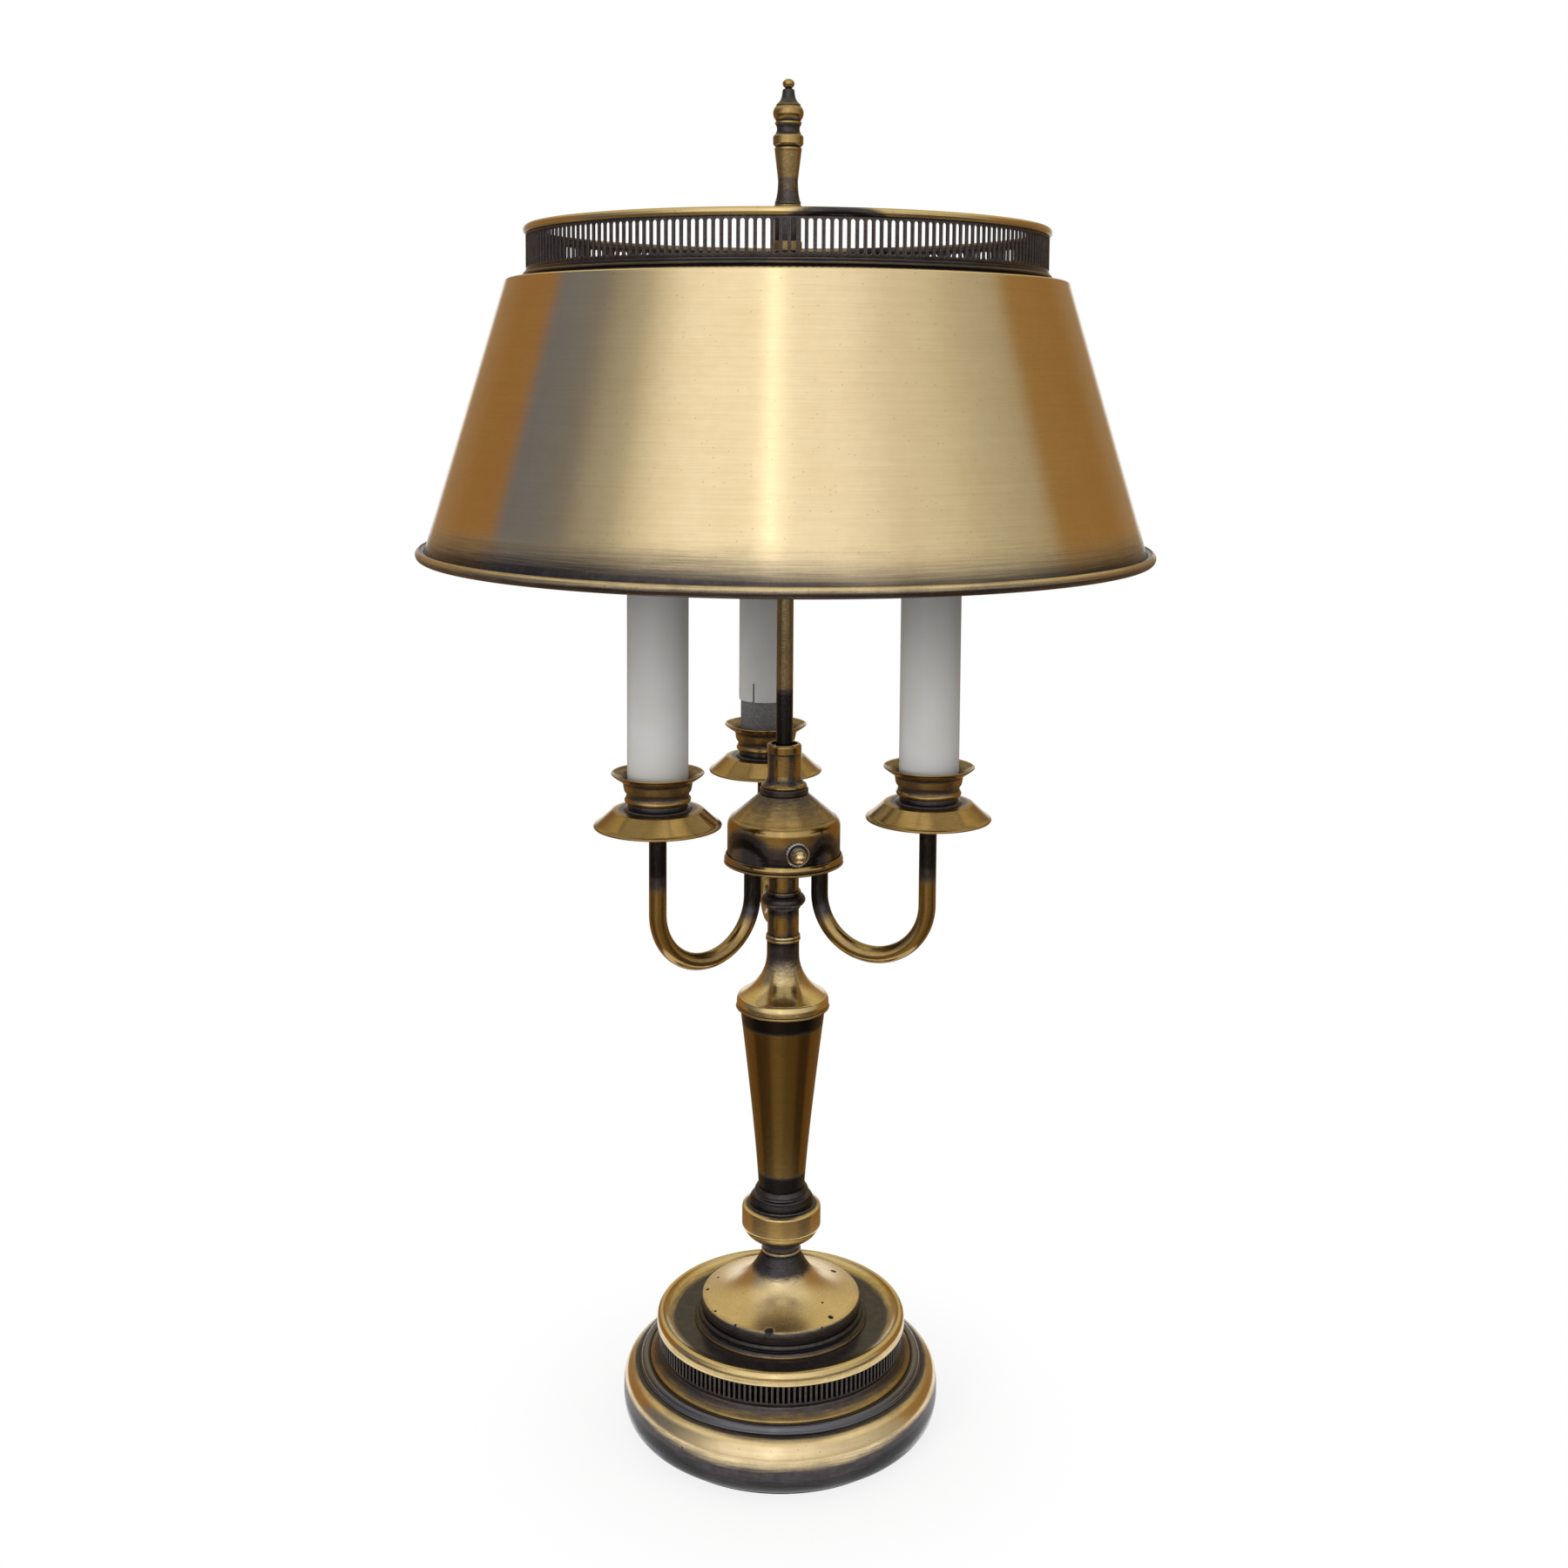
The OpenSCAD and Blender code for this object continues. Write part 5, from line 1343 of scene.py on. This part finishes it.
def switch_bushing_shell():
    """The threaded bushing: rings as a cosine of the length, and a stepped, rounded mouth."""
    length = 8.4
    x = np.linspace(0, length - 1.6, 60)
    rings = np.stack([4.36 + 0.09*np.cos(2*np.pi*x/0.8), x, 0.35 - 0.3*np.cos(2*np.pi*x/0.8)], -1)
    rows = outline([[3.6, 0, 0.8]], rings,
                   [[4.2, length - 1.2, 1.1], [4.2, length - 0.5, 0.2], [3.9, length, 0.0],
                    [3.6, length - 0.1, 1.0]])
    return lathe(rows, turns=96, edge=0.06)


def button_shell(length):
    """The push button: a shank and a full rounded end."""
    return lathe(outline(
        [[0, 0, 0.5], [4.75, 0, 0.5], [4.75, 1.5, 0.5], [3.5, 1.5, 0.6]],
        line([3.5, 3, 0.5], [3.5, length - 4.2, 0.5], 4),
        [[3.3, length - 3.6, 0.6]],
        arc((0, length - 3.3), 3.3, -2, 90, 16, (0.2, 0.0))*np.array([1.06, 1, 1])),
        turns=64, edge=0.1)


def on_candles(shell):
    """A shell at the lamp's axis set at each of the three candles and joined."""
    return joined([shell.moved(*CANDLES[side]) for side in SIDES])


def turned_piece(node, finish, body, slot, rows, level=None, turns=None, streaks=()):
    """A lathe piece that stands for one CAD node of the same name, with darker upright streaks up it,
    which are painted reflections.
    """
    shell = lathe(rows, turns, foot_of(node) if level is None else level).patched(streaks)
    return put(node + "_turned", shell, make_finishes()[finish], body, slot, node)


class LampStep(bpy.types.Operator):
    """Base of the lamp's operators."""

    bl_options = {"REGISTER"}

    def execute(self, context):
        self.make(context, make_finishes())
        return {"FINISHED"}


class MakeFoot(LampStep):
    """Spins the rolled foot with its cord hole, the flared skirt, the pierced drum and its cap"""

    bl_idname = "lamp.make_foot"
    bl_label = "Foot and drum"

    def make(self, context, finish):
        # The roll gets painted shade at its left and right sides
        foot = lathe(foot_rows()).patched(FOOT_PAINTED_SHADE, -1, FOOT_PAINTED_SHADE_TOP)
        put("base_foot_turned", foot, finish["rubbed"], "stand", "brass", "base_foot",
            cutters=[cord_drill()])
        skirt = lathe(skirt_rows(), level=SEAT_Z)
        band = pierced(WALL_R, SEAT_Z + SKIRT_H, head_of("base_gallery"), **DRUM_SLOTS)
        put("drum_band", joined([skirt, band]), finish["oxide"], "stand", "patina", "base_gallery")
        turned_piece("drum_cap", "golden", "stand", "dark_brass", cap_rows(), CAP_Z)


class MakeColumn(LampStep):
    """Turns the bell, the knop, the column and the stem"""

    bl_idname = "lamp.make_column"
    bl_label = "Bell, column and stem"

    def make(self, context, finish):
        # The stem's pieces carry painted reflection streaks
        for node, name, slot, rows, streaks in (
                ("bell_ring", "oxide", "patina", bell_ring_rows(), ()),
                ("base_bell", "spotted", "brass", bell_rows(), ()),
                ("knop", "golden", "brass", knop_rows(), ()),
                ("column", "umber", "dark_brass", column_rows(), ()),
                ("column_band", "oxide", "brass", band_rows(), ()),
                ("vase_neck", "golden", "brass", vase_rows(), ()),
                ("stem_tube", "brown", "dark_brass", stem_rows("stem_tube", STEM_R), PAINTED_REFLECTION_STREAKS),
                ("stem_bead", "oxide", "patina", stem_bead_rows(), ()),
                ("stem_top", "brown", "dark_brass", stem_rows("stem_top", STEM_R - 0.2), PAINTED_REFLECTION_STREAKS)):
            turned_piece(node, name, "stand", slot, rows, streaks=streaks)


class MakeHousing(LampStep):
    """Spins the switch housing and turns the coupler, the rod and the shade's seat"""

    bl_idname = "lamp.make_housing"
    bl_label = "Switch housing and rod"

    def make(self, context, finish):
        turned_piece("housing_pan", "brown", "stand", "dark_brass", housing_pan_rows())
        wall_top = head_of("housing_dome") - 14
        # The dome carries painted dark reflections round its wall
        dome = lathe(housing_dome_rows(), level=DOME_Z).patched(DOME_PAINTED_REFLECTIONS, DOME_Z - 1, wall_top)
        put("housing_dome_spun", dome, finish["brown"], "stand", "brass", "housing_dome")
        turned_piece("crown_ring", "oxide", "stand", "patina", crown_rows())
        # The coupler carries painted reflection streaks
        turned_piece("coupler", "brown", "stand", "dark_brass", coupler_rows(), streaks=PAINTED_REFLECTION_STREAKS)
        turned_piece("centre_rod", "brown", "stand", "brass", rod_rows(), turns=64)
        turned_piece("shade_seat", "rubbed", "stand", "brass", seat_rows(), turns=96)


class MakeSwitch(LampStep):
    """Turns the switch's knurled nut, threaded bushing and push button"""

    bl_idname = "lamp.make_switch"
    bl_label = "Push switch"

    def make(self, context, finish):
        for node, shell, start in (
                ("switch_nut", switch_nut_shell(), HOUSING_R + 0.1),
                ("switch_bushing", switch_bushing_shell(), HOUSING_R - 2.2)):
            put(node + "_turned", shell.turned(switch_place(start)), finish["rubbed_steel"],
                "stand", "brass", node)
        x, y = middle_of("switch_nut")
        ahead = np.array([x, y])/hypot(x, y)
        box = box_of("switch_button")
        corners = np.array([[box[i][0], box[j][1]] for j in (0, 1) for i in (0, 1)])
        tip = (corners @ ahead).max() - 0.2
        length = 18.0
        put("switch_button_turned", button_shell(length).turned(switch_place(tip - length)),
            finish["rubbed"], "switch_button", "brass", "switch_button")


class MakeArms(LampStep):
    """Bends the three arms and spins the pans, rings and cups on them"""

    bl_idname = "lamp.make_arms"
    bl_label = "Arms, pans and cups"

    def make(self, context, finish):
        for side in SIDES:
            arm, pan, cup = "arm_" + side, "pan_" + side, "cup_" + side
            put(arm + "_bent", arm_shell(side), finish["brown"], "stand", "dark_brass", arm)
            for node, rows, level in ((pan, pan_rows(), head_of(pan)), (cup, cup_rows(), foot_of(cup))):
                shell = lathe(rows, 128, level).moved(*CANDLES[side])
                put(node + "_spun", shell, finish["brown"], "stand", "brass", node)
        ring = lathe(neck_ring_rows(), 96, foot_of("cup_necks"))
        put("cup_necks_turned", on_candles(ring), finish["oxide"], "stand", "patina", "cup_necks")
        collar = lathe(pan_collar_rows(), 64, foot_of("pan_collars"))
        put("pan_collars_turned", on_candles(collar), finish["oxide"], "stand", "patina",
            "pan_collars")


class MakeCandles(LampStep):
    """Makes the sockets with their screw shells, the grey liners and the candle sleeves"""

    bl_idname = "lamp.make_candles"
    bl_label = "Candles and sockets"

    def make(self, context, finish):
        socket = lathe(socket_rows(), 72, foot_of("sockets"))
        put("sockets_moulded", on_candles(socket), finish["phenolic"], "stand", "socket", "sockets")
        shell = screw_shell().moved(0, 0, foot_of("screw_shells"))
        put("screw_shells_rolled", on_candles(shell), finish["rubbed"], "stand", "brass",
            "screw_shells")
        liner = lathe(liner_rows(), 72, foot_of("socket_liners"), 0.1)
        put("socket_liners_wound", on_candles(liner), finish["fibre"], "stand", "liner",
            "socket_liners")
        for side in SIDES:
            node = "sleeve_" + side
            level = foot_of(node)
            sleeve = lathe(sleeve_rows(head_of(node) - level), 112, level).moved(*CANDLES[side])
            put(node + "_drawn", sleeve, finish["ivory"], node, "ivory", node,
                cutters=[slit_block(side)])


class MakeShade(LampStep):
    """Spins the brushed shade with its rolled rim and hangs it on its spider"""

    bl_idname = "lamp.make_shade"
    bl_label = "Shade and spider"

    def make(self, context, finish):
        low = foot_of("shade_cone")
        cone = lathe(shade_rows(), SHADE_TURNS)
        for turn, half, amount, up in SHADE_PATCHES:
            cone = cone.darkened(turn, half, amount, low - 1, low + up)
        shade = put("shade_spun", cone, finish["brushed"], "shade", "brass", "shade_cone", "shade_step")
        paint_inside(shade.data, finish["paint"])
        put("shade_rim_rolled", lathe(rim_rows(), SHADE_TURNS), finish["rubbed"], "shade",
            "dark_brass", "shade_rim")
        turned_piece("spider_hub", "oxide", "shade", "patina", hub_rows(), turns=96)


class MakeGallery(LampStep):
    """Pierces the gallery and rolls the bead on it"""

    bl_idname = "lamp.make_gallery"
    bl_label = "Gallery"

    def make(self, context, finish):
        turned_piece("gallery_base", "oxide", "shade", "patina", gallery_base_rows(),
                     turns=SHADE_TURNS)
        band = pierced(GALLERY_R, foot_of("gallery_band"), head_of("gallery_band"), **GALLERY_SLOTS)
        put("gallery_pierced", band, finish["oxide"], "shade", "patina", "gallery_band")
        bead = lathe(gallery_bead_rows(), SHADE_TURNS, head_of("gallery_bead") - BEAD_A)
        put("gallery_bead_rolled", bead.patched(BEAD_PATCHES), finish["golden"], "shade", "brass",
            "gallery_bead")


class MakeFinial(LampStep):
    """Turns the finial"""

    bl_idname = "lamp.make_finial"
    bl_label = "Finial"

    def make(self, context, finish):
        turned_piece("finial", "brown", "finial", "brass", finial_rows(), turns=128)


class DressInner(LampStep):
    """Gives the inner pieces that stay as the frame has them their finishes"""

    bl_idname = "lamp.dress_inner"
    bl_label = "Inner pieces"

    def make(self, context, finish):
        inner = {
            "felt": ["felt_pad"], "board": ["base_board"], "iron": ["base_weight"],
            "rubber": ["cord_bushing"],
            "steel": ["pipe_nuts", "pipe_washer", "lamp_pipe", "arm_nuts", "cup_nuts",
                      "socket_risers"],
            "phenolic": ["switch_body"], "lead": ["arm_leads"],
            "rubbed": ["socket_contacts"], "oxide": ["spider_arms"]}
        for name, nodes in inner.items():
            for node in nodes:
                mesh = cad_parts[node].data
                mesh.materials.clear()
                mesh.materials.append(finish[name])


# The studio's colours by the turn in degrees: the tall panels, and what lies near the horizon
# and below. A ramp holds them over the brightest.
BRIGHTEST = 1.5
HIGH_PANELS = (
    (-180, (0.36, 0.28, 0.20)), (-148, (0.31, 0.20, 0.11)), (-128, (0.28, 0.16, 0.06)),
    (-108, (0.28, 0.16, 0.07)), (-103, (0.14, 0.165, 0.25)), (-87, (0.16, 0.18, 0.24)),
    (-78, (0.20, 0.20, 0.23)), (-71, (0.31, 0.31, 0.31)), (-59, (0.43, 0.43, 0.41)),
    (-52, (0.66, 0.64, 0.60)), (-42, (0.89, 0.88, 0.86)), (-32, (0.97, 0.97, 0.97)),
    (-14, (1.0, 1.0, 1.0)), (-8.5, (1.06, 1.07, 1.09)), (-7, (1.5, 1.5, 1.5)),
    (-4, (1.5, 1.5, 1.5)), (-2, (1.08, 1.10, 1.12)), (5, (0.96, 0.96, 0.96)),
    (20, (0.94, 0.94, 0.94)), (32, (0.81, 0.80, 0.79)), (39, (0.73, 0.71, 0.69)),
    (58, (0.63, 0.61, 0.56)), (73, (0.48, 0.48, 0.43)), (93, (0.39, 0.36, 0.31)),
    (98, (0.30, 0.19, 0.075)), (129, (0.28, 0.165, 0.06)), (150, (0.32, 0.22, 0.13)))
LOW_PANELS = (
    (-180, (0.26, 0.16, 0.07)), (-100, (0.30, 0.17, 0.055)), (-88, (0.10, 0.06, 0.028)),
    (-46, (0.14, 0.09, 0.04)), (-30, (0.33, 0.24, 0.11)), (-8, (0.36, 0.265, 0.13)),
    (2, (0.28, 0.20, 0.09)), (14, (0.22, 0.155, 0.065)), (44, (0.20, 0.135, 0.05)),
    (58, (0.09, 0.055, 0.025)), (86, (0.09, 0.055, 0.025)), (98, (0.30, 0.17, 0.055)),
    (180, (0.26, 0.16, 0.07)))


def dimmed(colour):
    """A colour over the brightest."""
    return tuple(part/BRIGHTEST for part in colour)


def light_room(stage):
    """The studio as a world. Its colour hangs on the turn from the camera's side, right positive,
    and on the height: one ramp for the tall panels and one for what lies near the horizon and
    below. Only metal sees them, all else is lit by one plain level. The camera sees white, and so
    does metal that looks straight behind the lamp."""
    world = bpy.data.worlds.new("Studio")
    bpy.context.scene.world = world
    tree = Tree(world)
    axes = tree.add("ShaderNodeSeparateXYZ", {}, {
        "Vector": tree.add("ShaderNodeTexCoord", {}, {}, "Generated")})
    x, y, z = axes, axes.output("Y"), axes.output("Z")
    front = x*(-sin(stage.turn)) + y*(-cos(stage.turn))
    side = x*cos(stage.turn) + y*(-sin(stage.turn))
    turn = side.math("ARCTAN2", front)*(1/(2*np.pi)) + 0.5

    def ramp(stops):
        table = [((degrees + 180)/360, dimmed(colour)) for degrees, colour in stops]
        return tree.add("ShaderNodeValToRGB", {"stops": table}, {"Fac": turn}, "Color")

    room = tree.mix(z.rise(-0.17, -0.09), ramp(LOW_PANELS), ramp(HIGH_PANELS))
    above = tree.mix(front.rise(-0.5, 0.2), dimmed((0.60, 0.53, 0.32)), dimmed((0.84, 0.81, 0.70)))
    room = tree.mix((z - front*0.3).rise(0.5, 0.8), room, above)
    path = tree.add("ShaderNodeLightPath", {}, {})
    seen = path.output("Is Glossy Ray") + path.output("Is Transmission Ray")
    room = tree.mix(seen.kept(), dimmed((0.74, 0.735, 0.73)), room)
    behind = front.rise(-0.90, -0.97)*z.math("ABSOLUTE").rise(0.16, 0.24, 1.0, 0.0)
    white = (path.output("Is Camera Ray") + seen*behind).kept()
    colour = tree.add("ShaderNodeVectorMath", {"operation": "SCALE"}, {0: room, "Scale": BRIGHTEST})
    colour = tree.mix(white, colour, (1, 1, 1))
    shade = tree.add("ShaderNodeBackground", {}, {"Color": colour, "Strength": 1.0})
    tree.add("ShaderNodeOutputWorld", {}, {"Surface": shade})


def floor_finish(reach):
    """The pale floor: white paper with a faint grain, which the camera and metal see mostly by its
    own white, and at its border by nothing else, so that only the lamp's shadow shows."""
    material, tree = new_finish("Pale_floor")
    place = tree.place()
    grain = tree.noise(place, 300, 2, 0.5)
    away = tree.add("ShaderNodeVectorMath", {"operation": "LENGTH"}, {0: place}, "Value")
    paper = tree.add("ShaderNodeBsdfDiffuse", {}, {
        "Color": tree.mix(grain, (0.80, 0.80, 0.80), (0.84, 0.84, 0.84))})
    own = tree.add("ShaderNodeEmission", {}, {"Color": (1, 1, 1), "Strength": 1.0})
    path = tree.add("ShaderNodeLightPath", {}, {})
    seen = (path.output("Is Camera Ray") + path.output("Is Glossy Ray")
            + path.output("Is Transmission Ray")).kept()
    share = seen*away.rise(0.09, reach*0.92, 0.82, 1.0)
    surface = tree.add("ShaderNodeMixShader", {}, {0: share, 1: paper, 2: own})
    tree.add("ShaderNodeOutputMaterial", {}, {"Surface": surface})
    return material


# The studio's lamps: place, aim and size in metres, power in watts and colour
LAMPS = {
    "key": ((-1.0, -1.25, 0.62), (0, 0, 0.42), 0.7, 16, (1.0, 0.985, 0.96)),
    "fill": ((1.3, -1.0, 0.9), (0, 0, 0.4), 1.2, 5, (1.0, 0.98, 0.95)),
    "top": ((0.1, 0.2, 2.0), (0, 0, 0.3), 1.2, 10, (1, 1, 1)),
}


def add_lamp(name, place, aim, size, power, colour):
    """A soft area lamp at place that faces aim, in metres; metal doesn't mirror it."""
    data = bpy.data.lights.new(name, "AREA")
    data.shape = "DISK"
    data.size, data.energy, data.color = size, power, colour
    lamp = add_object(name, data)
    way = Matrix.Translation(place).to_translation() - Matrix.Translation(aim).to_translation()
    lamp.rotation_euler = way.to_track_quat("Z", "Y").to_euler()
    lamp.location = place
    lamp.visible_glossy = False


class MakeStage(LampStep):
    """Lays the floor, lights the studio and sets the camera"""

    bl_idname = "lamp.make_stage"
    bl_label = "Stage and camera"

    def make(self, context, finish):
        stage = context.scene.lamp_stage
        steps, turns, under = 25, 96, 0.1
        rings = np.linspace(0, stage.floor_r/MM, steps)[:, None]
        turn = (np.arange(turns)*2*np.pi/turns)[None, :]
        points = np.stack([rings*np.cos(turn), rings*np.sin(turn), 0*rings*turn - under], -1)
        faces = net(steps, turns, wrap_rows=False)[:, ::-1]
        floor = add_object("floor", mesh_of("floor", points.reshape(-1, 3), faces))
        floor.data.materials.append(floor_finish(stage.floor_r))
        light_room(stage)
        for name, lamp in LAMPS.items():
            add_lamp(name, *lamp)
        data = bpy.data.cameras.new("camera")
        data.sensor_width, data.lens = 36, stage.lens
        data.shift_x, data.shift_y = stage.shift_x, stage.shift_y
        data.clip_start, data.clip_end = 0.05, 20
        camera = add_object("camera", data)
        camera.location = (-stage.distance*sin(stage.turn), -stage.distance*cos(stage.turn),
                           stage.height)
        camera.rotation_euler = (Matrix.Rotation(-stage.turn, 3, "Z")
                                 @ Matrix.Rotation(radians(90) - stage.tilt, 3, "X")
                                 @ Matrix.Rotation(stage.roll, 3, "Z")).to_euler()
        context.scene.camera = camera
        context.scene.view_settings.view_transform = "Standard"


STEPS = (MakeFoot, MakeColumn, MakeHousing, MakeSwitch, MakeArms, MakeCandles, MakeShade,
         MakeGallery, MakeFinial, DressInner, MakeStage)
SETTINGS = {"lamp_finish": LampFinish, "lamp_shape": LampShape, "lamp_stage": LampStage}


class LampPanel(bpy.types.Panel):
    """The lamp's steps and settings"""

    bl_idname = "VIEW3D_PT_candle_arm_lamp"
    bl_label = "Candle-arm lamp"
    bl_space_type = "VIEW_3D"
    bl_region_type = "UI"
    bl_category = "Lamp"

    def draw(self, context):
        for name, group in SETTINGS.items():
            box = self.layout.box()
            for setting in group.__annotations__:
                box.prop(getattr(context.scene, name), setting)
        for step in STEPS:
            self.layout.operator(step.bl_idname)


def register():
    for kind in (*SETTINGS.values(), *STEPS, LampPanel):
        bpy.utils.register_class(kind)
    for name, group in SETTINGS.items():
        setattr(bpy.types.Scene, name, bpy.props.PointerProperty(type=group))


def unregister():
    for name in SETTINGS:
        delattr(bpy.types.Scene, name)
    for kind in (LampPanel, *reversed(STEPS), *SETTINGS.values()):
        bpy.utils.unregister_class(kind)


def main():
    register()
    for step in STEPS:
        group, name = step.bl_idname.split(".")
        getattr(getattr(bpy.ops, group), name)()


if __name__ == "__main__":
    main()
